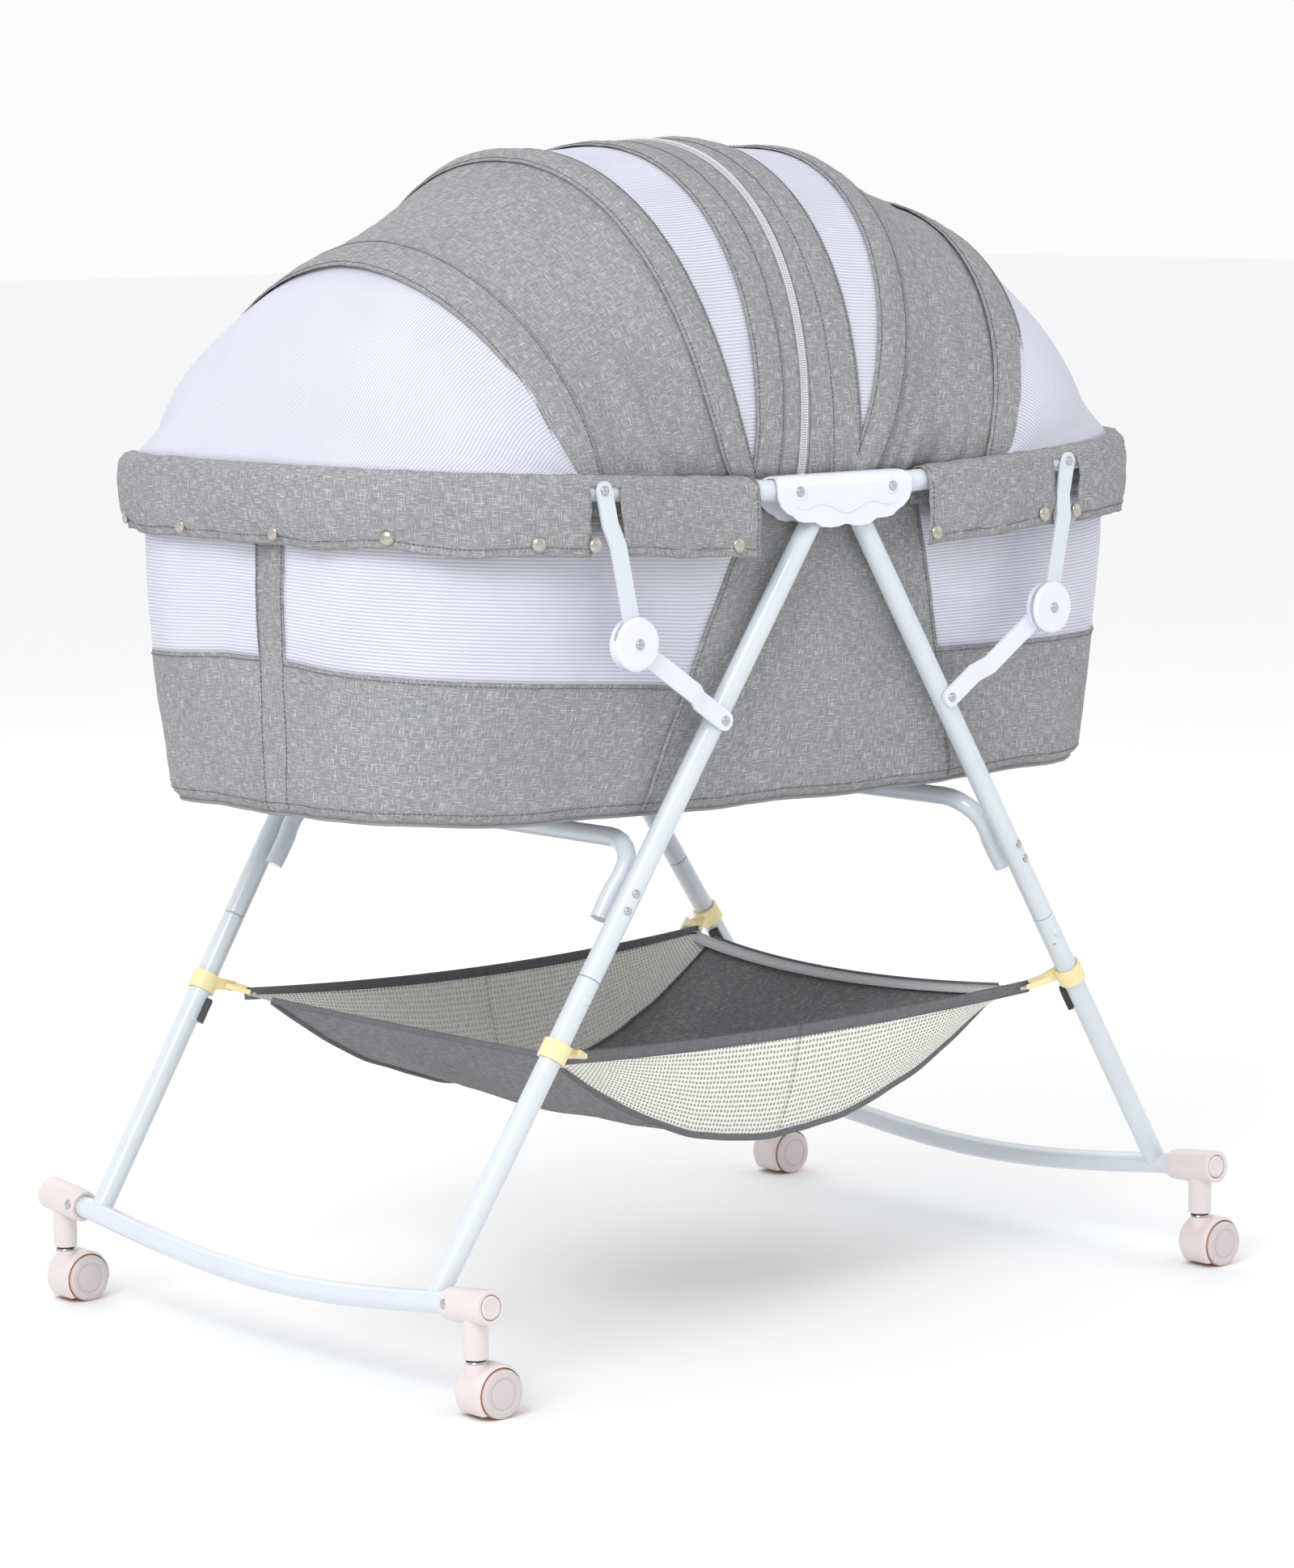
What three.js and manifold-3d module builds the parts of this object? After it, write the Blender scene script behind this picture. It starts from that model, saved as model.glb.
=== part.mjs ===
// Bassinet on a folding stand. Millimetres, +Z up, X along the bed, origin on the floor under its centre.
// Two U rails and two leg frames turn in a bracket at each side; folding braces lock them open.
import * as THREE from 'three';
import { mergeVertices } from 'three/addons/utils/BufferGeometryUtils.js';
import Module from 'manifold-3d';

const wasm = await Module();
wasm.setup();
const { Manifold, Mesh: SolidMesh } = wasm;

// ---- driving dimensions ----
const GAP = 0.3;                 // air between parts that touch
const TUBE_R = 9.5;              // frame tube, 19 mm
const BRACE_R = 8;               // cross brace tube, 16 mm
const RAIL_HALF_L = 440;         // bracket centre to the rail's end, on the axis
const RAIL_HALF_W = 260.6;
const RAIL_Z = 722.7;            // rail pivot height
const RAIL_CORNER_R = 183;
const RAIL_RISE = 3;             // degrees, each rail half climbs outwards
const RAIL_PIVOT_X = 52.3;
const LEG_TOP_X = 13.5;
const LEG_TOP_Z = RAIL_Z - 4.7;
const STANCE_X = 420;            // rocker axis
const STANCE_Y = RAIL_HALF_W - 25.2; // foot of each leg
const FOOT_Z = 86.3;
const LEG_JOINT = 0.611;         // share of the leg above the plug joint
const PLUG_LEN = 55;
const ROCKER_SAG = 19;
const BRACE_Z = 439;             // axis of the cross brace's level run
const BRACE_LOW_Z = 379;
const BRACKET_HALF_L = 76;
const BRACKET_WALL = 2.2;
const BRACKET_ROOM = TUBE_R + 1.3;
const BRACKET_TOP = RAIL_Z + TUBE_R + 3.8;
const BRACKET_BOTTOM = RAIL_Z - TUBE_R - 22.2;
const LINK_X = 212.4;            // brace rivet, along the rail from its pivot
const ELBOW_X = 237.2;
const ELBOW_Z = 608.3;
const ELBOW_R = 22.5;
const BRACE_FOOT_Z = 536.7;      // rivet of the lower link on the leg
const STRAP_W = 17;
const STRAP_T = 3;
const WHEEL_R = 20.5;
const WHEEL_OUT = 20;            // half width of the twin wheel
const HOOD_HALF = WHEEL_OUT - 3.5; // half width of the hood over both wheels
const TRAIL = 12.7;
const STEM_Y = STANCE_Y + 53.1;
const HOUSING_R = 14.5;
const HOUSING_IN = STANCE_Y + 21.6;
const HOUSING_OUT = STANCE_Y + 73.6;
const FORK_TOP = 2 * WHEEL_R + 4.2; // seat of the swivel pin, over the hood
const STEM_BOTTOM = FORK_TOP + 3.6;
const END_TILT = 5.5;            // degrees, the rocker's end climbs outwards
const CLOTH = 1.4;
const TUB_HALF_L = RAIL_HALF_L - 10;
const TUB_FLOOR = 465;
const TUB_LEAN = 19;             // each side wall leans in by this much
const MATTRESS_T = 22;
const BOARD_T = 3;
const CUFF_DROP = 54;               // rail axis to the cuff's lower edge
const BASKET_HALF_L = 268;
const BASKET_HALF_W = STANCE_Y - 13.4;
const BASKET_RIM_Z = 264;
const BASKET_DEPTH = 98;
const CLIP_Z = 276.3;
const CANOPY_TOP = 1007;
const BOW_R = 2;
const BOW_INSET = BRACKET_ROOM + BRACKET_WALL + BOW_R + GAP;  // rail axis to a bow that clears the bracket
const INNER_INSET = BOW_INSET + 2 * BOW_R + 1.1;
const CLOTH_LIFT = 3.1;          // bow axis to the cloth over it

const rad = (d) => d * Math.PI / 180;
const v3 = (x, y, z) => new THREE.Vector3(x, y, z);
const root = new THREE.Group();
root.name = 'bassinet_on_stand';

// ---- materials ----
const PAINT = [0xf1f4f8, 0.25, 0.2];
const PLASTIC = [0xf4f5fb, 0.35, 0];
const CASTER = [0xeee2e0, 0.4, 0];
const LINEN = [0x9fa1a4, 0.95, 0];
const NET = [0xe4e3f2, 0.9, 0];
const MELANGE = [0x77797d, 0.95, 0];
const CREAM = [0xf2e7bd, 0.5, 0];
const STEEL = [0xb9bcc0, 0.3, 1];
const BOARD = [0xb08a62, 0.8, 0];
const PAD = [0xf2f2f0, 0.95, 0];

function add(name, solid, [color, roughness, metalness]) {
  const mesh = solid.getMesh();
  const pos = new Float32Array(mesh.numVert * 3);
  for (let i = 0; i < mesh.numVert; i++) {
    for (let k = 0; k < 3; k++) pos[3 * i + k] = mesh.vertProperties[mesh.numProp * i + k];
  }
  const geometry = new THREE.BufferGeometry();
  geometry.setAttribute('position', new THREE.BufferAttribute(pos, 3));
  geometry.setIndex(new THREE.BufferAttribute(new Uint32Array(mesh.triVerts), 1));
  geometry.computeVertexNormals();
  const part = new THREE.Mesh(geometry, new THREE.MeshStandardMaterial({ color, roughness, metalness }));
  part.name = name;
  root.add(part);
}

// ---- solids ----
function toSolid(source) {
  let g = source.clone();
  for (const key of Object.keys(g.attributes)) if (key !== 'position') g.deleteAttribute(key);
  g = mergeVertices(g, 1e-4);
  const index = [];
  const src = g.index.array;
  for (let i = 0; i < src.length; i += 3) {
    const [a, b, c] = [src[i], src[i + 1], src[i + 2]];
    if (a !== b && b !== c && a !== c) index.push(a, b, c);
  }
  const solid = new Manifold(new SolidMesh({
    numProp: 3,
    vertProperties: new Float32Array(g.attributes.position.array),
    triVerts: new Uint32Array(index),
  }));
  return solid.volume() < 0 ? new Manifold(new SolidMesh({
    numProp: 3,
    vertProperties: new Float32Array(g.attributes.position.array),
    triVerts: new Uint32Array(index.map((_, i) => index[i - (i % 3) + [0, 2, 1][i % 3]])),
  })) : solid;
}

// Turned solid from [radius, height] pairs that start and end on the axis or close on themselves.
function turned(profile, sides, from, axis) {
  const g = new THREE.LatheGeometry(profile.map(([r, h]) => new THREE.Vector2(r, h)), sides);
  g.applyQuaternion(new THREE.Quaternion().setFromUnitVectors(v3(0, 1, 0), axis.clone().normalize()));
  g.translate(from.x, from.y, from.z);
  return toSolid(g);
}

const rod = (a, b, r, sides = 16) =>
  turned([[0, 0], [r, 0], [r, a.distanceTo(b)], [0, a.distanceTo(b)]], sides, a, b.clone().sub(a));

function ball(c, r, sides = 12) {
  const g = new THREE.SphereGeometry(r, sides, Math.round(sides * 0.6));
  g.translate(c.x, c.y, c.z);
  return toSolid(g);
}

function block(x0, x1, y0, y1, z0, z1) {
  const g = new THREE.BoxGeometry(x1 - x0, y1 - y0, z1 - z0);
  g.translate((x0 + x1) / 2, (y0 + y1) / 2, (z0 + z1) / 2);
  return toSolid(g);
}

function roundShape(r, sides) {
  const shape = new THREE.Shape();
  for (let i = 0; i < sides; i++) {
    const a = 2 * Math.PI * (i + 0.5) / sides;
    if (i) shape.lineTo(r * Math.cos(a), r * Math.sin(a)); else shape.moveTo(r * Math.cos(a), r * Math.sin(a));
  }
  shape.closePath();
  return shape;
}

// Path that is sampled exactly at the given points.
class Polyline extends THREE.Curve {
  constructor(points) { super(); this.points = points; }
  getUtoTmapping(u) { return u; }
  getPoint(t) {
    const at = Math.min(Math.max(t, 0), 1) * (this.points.length - 1);
    const i = Math.min(Math.floor(at), this.points.length - 2);
    return this.points[i].clone().lerp(this.points[i + 1], at - i);
  }
}

// Round bar swept along points.
const bent = (points, r, sides = 12) => toSolid(new THREE.ExtrudeGeometry(roundShape(r, sides), {
  steps: points.length - 1, extrudePath: new Polyline(points), bevelEnabled: false, curveSegments: 1 }));

// Outline in XZ, given thickness along Y from y0 to y1.
function slab(shape, y0, y1, curveSegments = 6) {
  const g = new THREE.ExtrudeGeometry(shape, { depth: y1 - y0, bevelEnabled: false, curveSegments });
  g.rotateX(Math.PI / 2);
  g.translate(0, y1, 0);
  return toSolid(g);
}

// Skin of a grid of points, rows x columns; `around` closes each row on itself.
function skin(outer, inner, around = false) {
  const rows = outer.length;
  const cols = outer[0].length;
  const position = [];
  for (const side of [outer, inner]) for (const row of side) for (const p of row) position.push(p.x, p.y, p.z);
  const at = (s, i, j) => s * rows * cols + i * cols + (j % cols);
  const index = [];
  const quad = (a, b, c, d) => index.push(a, b, c, a, c, d);
  const span = around ? cols : cols - 1;
  for (let i = 0; i < rows - 1; i++) {
    for (let j = 0; j < span; j++) {
      quad(at(0, i, j), at(0, i, j + 1), at(0, i + 1, j + 1), at(0, i + 1, j));
      quad(at(1, i, j), at(1, i + 1, j), at(1, i + 1, j + 1), at(1, i, j + 1));
    }
  }
  for (let j = 0; j < span; j++) {
    quad(at(0, 0, j), at(1, 0, j), at(1, 0, j + 1), at(0, 0, j + 1));
    quad(at(0, rows - 1, j), at(0, rows - 1, j + 1), at(1, rows - 1, j + 1), at(1, rows - 1, j));
  }
  if (!around) {
    for (let i = 0; i < rows - 1; i++) {
      quad(at(0, i, 0), at(0, i + 1, 0), at(1, i + 1, 0), at(1, i, 0));
      quad(at(0, i, cols - 1), at(1, i, cols - 1), at(1, i + 1, cols - 1), at(0, i + 1, cols - 1));
    }
  }
  const g = new THREE.BufferGeometry();
  g.setAttribute('position', new THREE.BufferAttribute(new Float32Array(position), 3));
  g.setIndex(index);
  return toSolid(g);
}

// Grid of points moved along the surface's own normal.
function offsetGrid(grid, distance, around = false) {
  const rows = grid.length;
  const cols = grid[0].length;
  const pick = (i, j) => grid[Math.min(Math.max(i, 0), rows - 1)][around ? (j + cols) % cols : Math.min(Math.max(j, 0), cols - 1)];
  return grid.map((row, i) => row.map((p, j) => {
    const du = pick(i + 1, j).clone().sub(pick(i - 1, j));
    const dv = pick(i, j + 1).clone().sub(pick(i, j - 1));
    return p.clone().addScaledVector(du.cross(dv).normalize(), distance);
  }));
}

// Mirror of a solid built on the +X, -Y quarter.
const mirrored = (solid, sx, sy) => {
  let out = solid;
  if (sx < 0) out = out.mirror([1, 0, 0]);
  if (sy > 0) out = out.mirror([0, 1, 0]);
  return out;
};
const corners = [['left_near', -1, -1], ['left_far', -1, 1], ['right_near', 1, -1], ['right_far', 1, 1]];
const ends = [['left', -1], ['right', 1]];

// ---- shared lines, on the +X side ----
const rise = rad(RAIL_RISE);
const railHeight = (x) => RAIL_Z + Math.max(0, Math.abs(x) - RAIL_PIVOT_X) * Math.tan(rise);
const legTop = v3(LEG_TOP_X, -RAIL_HALF_W, LEG_TOP_Z);
const legFoot = v3(STANCE_X, -STANCE_Y, FOOT_Z);
const legDir = legFoot.clone().sub(legTop).normalize();
const legLen = legTop.distanceTo(legFoot);
const legAt = (z) => legTop.clone().lerp(legFoot, (LEG_TOP_Z - z) / (LEG_TOP_Z - FOOT_Z));
const legJoint = legTop.clone().lerp(legFoot, LEG_JOINT);
const tiltEnd = rad(END_TILT);
const endDir = v3(0, -Math.cos(tiltEnd), Math.sin(tiltEnd));
const endAt = (y) => legFoot.clone().addScaledVector(endDir, (y - STANCE_Y) / Math.cos(tiltEnd));
const brace = { // brace pivots in XZ
  top: v3(RAIL_PIVOT_X + LINK_X * Math.cos(rise), 0, RAIL_Z + LINK_X * Math.sin(rise)),
  elbow: v3(ELBOW_X, 0, ELBOW_Z),
  foot: v3(legAt(BRACE_FOOT_Z).x, 0, BRACE_FOOT_Z),
};
// planes of the brace, outwards from the bed's middle: leg rivet, rail rivet, then the two in the elbow
const FOOT_Y = -legAt(BRACE_FOOT_Z).y + TUBE_R + 2.4 * GAP;
const LINK_Y = RAIL_HALF_W + TUBE_R + 1.3 * GAP;
const ELBOW_Y = LINK_Y + 1;                               // lower link inside the elbow
const ELBOW_UP_Y = ELBOW_Y + STRAP_T + 1.5;               // upper link inside the elbow

// ---- rails and brackets ----
// Half rail axis, from near side round the end to far side; start is measured along it from the pivot.
function railPoints(start = 0, inset = 0, perCorner = 7) {
  const r = RAIL_CORNER_R - inset;
  const w = RAIL_HALF_W - inset;
  const l = (RAIL_HALF_L - RAIL_PIVOT_X) / Math.cos(rise) - inset;
  const place = (a, y) => v3(RAIL_PIVOT_X + a * Math.cos(rise), y, RAIL_Z + a * Math.sin(rise));
  const near = [];
  if (start < l - r - 20) near.push(place(start, -w));
  for (let i = 0; i <= perCorner; i++) {
    const turn = i / perCorner * Math.PI / 2;
    const a = l - r + r * Math.sin(turn);
    if (a > start) near.push(place(a, -w + r - r * Math.cos(turn)));
  }
  return [...near, ...near.slice().reverse().map((p) => v3(p.x, -p.y, p.z))];
}

function strapShape(a, b, width, ra = width / 2, rb = width / 2) {
  const shape = new THREE.Shape();
  const angle = Math.atan2(b.z - a.z, b.x - a.x);
  shape.absarc(a.x, a.z, ra, angle + Math.PI / 2, angle + 1.5 * Math.PI, false);
  shape.absarc(b.x, b.z, rb, angle - Math.PI / 2, angle + Math.PI / 2, false);
  shape.closePath();
  return shape;
}

function railSolid() {
  let solid = bent(railPoints(), TUBE_R, 10);
  for (const sy of [-1, 1]) {
    solid = solid.add(ball(v3(RAIL_PIVOT_X, sy * RAIL_HALF_W, RAIL_Z), TUBE_R, 8));
  }
  return solid;
}

function bracketSolid() {
  const arch = new THREE.Shape();
  const h = BRACKET_ROOM + BRACKET_WALL;
  const round = 8.5;
  const tunnel = (half, top, r) => {
    const shape = new THREE.Shape();
    shape.moveTo(-half, BRACKET_BOTTOM - 5);
    shape.lineTo(half, BRACKET_BOTTOM - 5);
    shape.lineTo(half, top - r);
    shape.absarc(half - r, top - r, r, 0, Math.PI / 2, false);
    shape.absarc(-half + r, top - r, r, Math.PI / 2, Math.PI, false);
    shape.closePath();
    const g = new THREE.ExtrudeGeometry(shape, { depth: 2 * BRACKET_HALF_L + 20, bevelEnabled: false, curveSegments: 3 });
    g.rotateX(Math.PI / 2);
    g.rotateZ(Math.PI / 2);
    g.translate(-BRACKET_HALF_L - 10, -RAIL_HALF_W, 0);
    return toSolid(g);
  };
  const l = BRACKET_HALF_L;
  const b = BRACKET_BOTTOM;
  arch.moveTo(0, b + 2.5);
  for (const s of [1, -1]) {
    const pts = s > 0
      ? [[8, b + 0.6], [17, b], [27, b + 1], [35, b + 5.2], [47, b + 5.6], [54, b + 7], [60, b + 11.5], [66, b + 14], [l - 3, b + 20], [l, b + 28]]
      : [[-l, b + 28], [-l + 3, b + 20], [-66, b + 14], [-60, b + 11.5], [-54, b + 7], [-47, b + 5.6], [-35, b + 5.2], [-27, b + 1], [-17, b], [-8, b + 0.6]];
    if (s < 0) {
      arch.lineTo(l, BRACKET_TOP - 9);
      arch.quadraticCurveTo(l, BRACKET_TOP + 0.01, l - 10, BRACKET_TOP + 0.01);
      arch.lineTo(-l + 10, BRACKET_TOP + 0.01);
      arch.quadraticCurveTo(-l, BRACKET_TOP + 0.01, -l, BRACKET_TOP - 9);
    }
    for (const [x, z] of pts) arch.lineTo(x, z);
  }
  arch.closePath();
  const plate = slab(arch, -RAIL_HALF_W - h - 1, -RAIL_HALF_W + h + 1, 4);
  let shell = tunnel(h, BRACKET_TOP, round + BRACKET_WALL).intersect(plate)
    .subtract(tunnel(BRACKET_ROOM, BRACKET_TOP - BRACKET_WALL, round));
  for (const s of [-1, 1]) { // raised bosses round the rail rivets
    const at = v3(s * RAIL_PIVOT_X, -RAIL_HALF_W - h + 0.4, RAIL_Z);
    shell = shell.add(rod(at, v3(at.x, at.y - 1.2, at.z), 7, 10));
  }
  return shell;
}

// ---- leg frames ----
function upperLeg() {
  const len = legTop.distanceTo(legJoint) - 0.2;
  const cap = [];
  for (let i = 3; i >= 0; i--) {
    cap.push([TUBE_R * Math.sin(i * Math.PI / 6), len + TUBE_R * Math.cos(i * Math.PI / 6)]);
  }
  const profile = [[0, PLUG_LEN + 5], [TUBE_R - 1.4, PLUG_LEN + 5], [TUBE_R - 1.4, 0], [TUBE_R, 0], ...cap];
  return turned(profile, 12, legJoint.clone().addScaledVector(legDir, -0.2), legDir.clone().negate());
}

function rockerPoints() {
  const pts = [];
  const low = FOOT_Z - ROCKER_SAG;
  const outer = endAt(HOUSING_OUT - 20);
  pts.push(outer, endAt((HOUSING_OUT - 20 + STANCE_Y) / 2), legFoot.clone());
  for (const f of [0.72, 0.42, 0.14]) {
    pts.push(v3(STANCE_X, -STANCE_Y * f, low + ROCKER_SAG * (1 - Math.cos(f * Math.PI / 2)) * 1.02));
  }
  const half = pts.slice().reverse().map((p) => v3(p.x, -p.y, p.z));
  return new THREE.CatmullRomCurve3([...pts, ...half], false, 'centripetal').getSpacedPoints(22);
}

function rockerFrame() {
  let solid = bent(rockerPoints(), TUBE_R, 10);
  const len = legJoint.distanceTo(legFoot);
  const leg = turned([[0, 0], [TUBE_R - 0.3, 0], [TUBE_R, 15], [TUBE_R, len - 0.2],
    [TUBE_R - 1.7, len], [TUBE_R - 1.7, len + PLUG_LEN], [0, len + PLUG_LEN]], 12, legFoot, legDir.clone().negate());
  const button = legJoint.clone().addScaledVector(legDir, 18);
  const knob = ball(v3(button.x, button.y - TUBE_R + 0.8, button.z), 3.4, 6);
  for (const sy of [-1, 1]) solid = solid.add(mirrored(leg.add(knob), 1, sy));
  return solid;
}

function crossBrace() {
  const inPlane = (y, z) => v3(legAt(z).x, y, z);
  const side = STANCE_Y - 2;
  const bend = 42;
  const pts = [];
  const foot = inPlane(-side - 2.5, BRACE_LOW_Z);
  pts.push(foot, inPlane(-side - 1.2, BRACE_LOW_Z + 12));
  for (let i = 0; i <= 6; i++) {
    const a = i * Math.PI / 12;
    pts.push(inPlane(-side + bend * (1 - Math.cos(a)), BRACE_Z - bend * 0.9 + bend * 0.9 * Math.sin(a)));
  }
  const far = pts.slice().reverse().map((p) => v3(p.x, -p.y, p.z));
  let solid = bent([...pts, ...far], BRACE_R, 10);
  for (const sy of [-1, 1]) {
    const a = legTop.clone().setY(sy * RAIL_HALF_W);
    const b = legFoot.clone().setY(sy * STANCE_Y);
    solid = solid.subtract(rod(a, b, (TUBE_R + GAP) / Math.cos(Math.PI / 12), 12));
  }
  return solid;
}

// ---- folding braces ----
// Strap between two pivots with one step sideways: y0 until share t0 of the length, y1 from share t1.
function steppedStrap(a, b, y0, y1, t0, t1, ra, rb) {
  const len = a.distanceTo(b);
  const d = b.clone().sub(a).divideScalar(len);
  const edge = new THREE.Shape();
  const side = [[-12, y0], [t0 * len, y0], [t1 * len, y1], [len + 12, y1]];
  side.forEach(([t, y], i) => (i ? edge.lineTo(t, y) : edge.moveTo(t, y)));
  side.slice().reverse().forEach(([t, y]) => edge.lineTo(t, y + STRAP_T));
  edge.closePath();
  const g = new THREE.ExtrudeGeometry(edge, { depth: STRAP_W + 4, bevelEnabled: false });
  g.translate(0, 0, -STRAP_W / 2 - 2);
  const out = v3(0, -1, 0);
  g.applyMatrix4(new THREE.Matrix4().makeBasis(d, out, new THREE.Vector3().crossVectors(d, out)));
  g.translate(a.x, 0, a.z);
  return toSolid(g).intersect(slab(strapShape(a, b, STRAP_W, ra, rb), -Math.max(y0, y1) - 8, -Math.min(y0, y1) + 5, 3));
}

function upperLink() {
  const b = brace.elbow;
  return steppedStrap(brace.top, b, LINK_Y, ELBOW_UP_Y, 0.22, 0.36, 8, 8)
    .subtract(rod(v3(b.x, -ELBOW_UP_Y + 2, b.z), v3(b.x, -ELBOW_UP_Y - STRAP_T - 2, b.z), 4.1, 8));
}

function lowerLink() {
  const e = brace.elbow;
  const strap = steppedStrap(brace.foot, e, FOOT_Y, ELBOW_Y, 0.26, 0.36, 8.5, 8.5);
  const inner = ELBOW_Y - 0.8;
  const outer = ELBOW_UP_Y + STRAP_T + 4.5;
  const at = (y) => v3(e.x, -y, e.z);
  const disc = turned([[0, 0], [ELBOW_R - 0.8, 0], [ELBOW_R, 1], [ELBOW_R, outer - inner - 2.5],
    [ELBOW_R - 2.5, outer - inner], [0, outer - inner]], 18, at(inner), v3(0, -1, 0));
  // slot for the upper link, open over the sweep of the fold
  const rest = Math.atan2(brace.top.z - e.z, brace.top.x - e.x);
  const shape = new THREE.Shape();
  shape.absarc(e.x, e.z, 40, rest - rad(66), rest + rad(182), false);
  shape.absarc(e.x, e.z, 4, rest + rad(182), rest - rad(66), true);
  shape.closePath();
  const slot = slab(shape, -ELBOW_UP_Y - STRAP_T - GAP, -ELBOW_UP_Y + GAP, 5)
    .add(turned([[0, 0], [9.4, 0], [9.4, STRAP_T + 2 * GAP], [0, STRAP_T + 2 * GAP]], 12, at(ELBOW_UP_Y - GAP), v3(0, -1, 0)));
  return disc.add(strap).subtract(slot).add(rod(at(ELBOW_Y + 0.5), at(outer - 1), 3.6, 8));
}

// ---- casters ----
function casterHousing() {
  const inner = endAt(HOUSING_IN);
  const outer = endAt(HOUSING_OUT);
  const len = inner.distanceTo(outer);
  const tubeRoom = len - 18;
  const body = turned([[TUBE_R + GAP, 0], [HOUSING_R - 0.6, 0], [HOUSING_R, 16], [HOUSING_R, len], [10.4, len],
    [10.4, len - 8], [3.6, len - 8], [3.6, len - 15], [0, len - 15], [0, tubeRoom],
    [TUBE_R + GAP, tubeRoom], [TUBE_R + GAP, 0]], 14, inner, endDir);
  const top = endAt(STEM_Y);
  const bottom = v3(top.x, top.y, STEM_BOTTOM);
  const stem = rod(bottom, v3(top.x, top.y, top.z - 11), 10.4, 14);
  const bore = rod(v3(top.x, top.y, STEM_BOTTOM - 1), v3(top.x, top.y, STEM_BOTTOM + 22), 5.6, 8);
  const keep = turned([[0, -1], [TUBE_R + GAP, -1], [TUBE_R + GAP, tubeRoom], [0, tubeRoom]], 14, inner, endDir);
  return body.add(stem.subtract(keep)).subtract(bore);
}

function pushButton() {
  const outer = endAt(HOUSING_OUT);
  return turned([[0, -11.5], [3.1, -11.5], [3.1, -4.2], [9.8, -4.2], [9.8, -0.4], [0, 0.6]], 14, outer, endDir);
}

function casterFork(cx, cy) {
  const stem = v3(cx, cy, 0);
  const hub = v3(cx + TRAIL, cy, WHEEL_R);
  const coverR = WHEEL_R + 3.4;
  const along = (y) => v3(hub.x, cy + y, hub.z);
  const full = 2 * HOOD_HALF;
  let hood = turned([[0, 0], [coverR - 2.5, 0], [coverR, 2.5], [coverR, full - 2.5], [coverR - 2.5, full], [0, full]],
    16, along(-HOOD_HALF), v3(0, 1, 0));
  const well = [[0, 0], [WHEEL_R + 0.9, 0], [WHEEL_R + 0.9, HOOD_HALF], [0, HOOD_HALF]];
  hood = hood.subtract(turned(well, 16, along(2.6), v3(0, 1, 0)))
    .subtract(turned(well, 16, along(-2.6 - HOOD_HALF), v3(0, 1, 0)));
  const cutter = block(-60, 60, -40, 40, -60, -10).rotate([0, -20, 0]).translate([hub.x, cy, hub.z]);
  hood = hood.subtract(cutter);
  const web = rod(along(-2.6), along(2.6), 9, 10);
  const seat = rod(v3(cx, cy, WHEEL_R + 9.5), v3(cx, cy, FORK_TOP), 9, 10)
    .subtract(rod(along(-HOOD_HALF), along(-2.6), WHEEL_R + 0.9, 16)).subtract(rod(along(2.6), along(HOOD_HALF), WHEEL_R + 0.9, 16));
  const pin = turned([[0, -1], [7.6, -1], [7.6, 3.1], [5, 3.1], [5, 20], [0, 21]], 8, v3(cx, cy, FORK_TOP), v3(0, 0, 1));
  return hood.add(web).add(seat).add(pin).subtract(rod(along(-4), along(4), 3.7, 8));
}

function twinWheel(cx, cy) {
  const w = WHEEL_OUT;
  const side = [[WHEEL_R - 2.2, w - 0.6], [WHEEL_R, w - 3], [WHEEL_R, 4], [3.2, 3.4]];
  const profile = [[0, w], ...side, ...side.slice().reverse().map(([r, h]) => [r, -h]), [0, -w]];
  return turned(profile.slice().reverse(), 20, v3(cx + TRAIL, cy, WHEEL_R), v3(0, 1, 0));
}

// ---- soft goods ----
function tubOutline(halfL, halfW, r, n) {
  const pts = [];
  const centres = [[1, 1], [-1, 1], [-1, -1], [1, -1]];
  centres.forEach(([sx, sy], q) => {
    for (let i = 0; i <= n; i++) {
      const a = (q + i / n) * Math.PI / 2;
      pts.push([sx * (halfL - r) + r * Math.cos(a), sy * (halfW - r) + r * Math.sin(a)]);
    }
    pts.push(q % 2 ? [sx * halfL, 0] : [0, sy * halfW]);
  });
  return pts;
}

function tub() {
  const topW = RAIL_HALF_W - BRACKET_ROOM - BRACKET_WALL - 1.2;
  const level = (f, inset, r) => tubOutline(TUB_HALF_L - 2 - inset, topW - TUB_LEAN * f - inset, r - inset, 4).map(([x, y]) => {
    const top = railHeight(x) - 13;
    return v3(x, y, top + (TUB_FLOOR - top) * f);
  });
  const rows = [[0, 0, 165], [0.3, -1, 155], [0.62, -1.5, 142], [0.88, 0, 128], [0.965, 4, 122], [1, 14, 116]];
  const outer = rows.map(([f, inset, r]) => level(f, inset, r));
  const floor = (f) => level(1, TUB_HALF_L * 0.001 + f, 110);
  outer.push(floor(80));
  const inner = rows.map(([f, inset, r], k) => level(f, inset + CLOTH, r).map((p) => (k > 3 ? p.setZ(p.z + CLOTH) : p)));
  inner.push(floor(80).map((p) => v3(p.x, p.y, p.z + CLOTH)));
  return skin(outer, inner, true).add(floorPlate(outer[6], CLOTH));
}

// Flat plate under an outline, slightly larger so that it joins the wall's last ring.
function floorPlate(ring, thickness) {
  const shape = new THREE.Shape(ring.map((p) => new THREE.Vector2(p.x * 1.004, p.y * 1.004)));
  const g = new THREE.ExtrudeGeometry(shape, { depth: thickness, bevelEnabled: false });
  g.translate(0, 0, ring[0].z);
  return toSolid(g);
}

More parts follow.
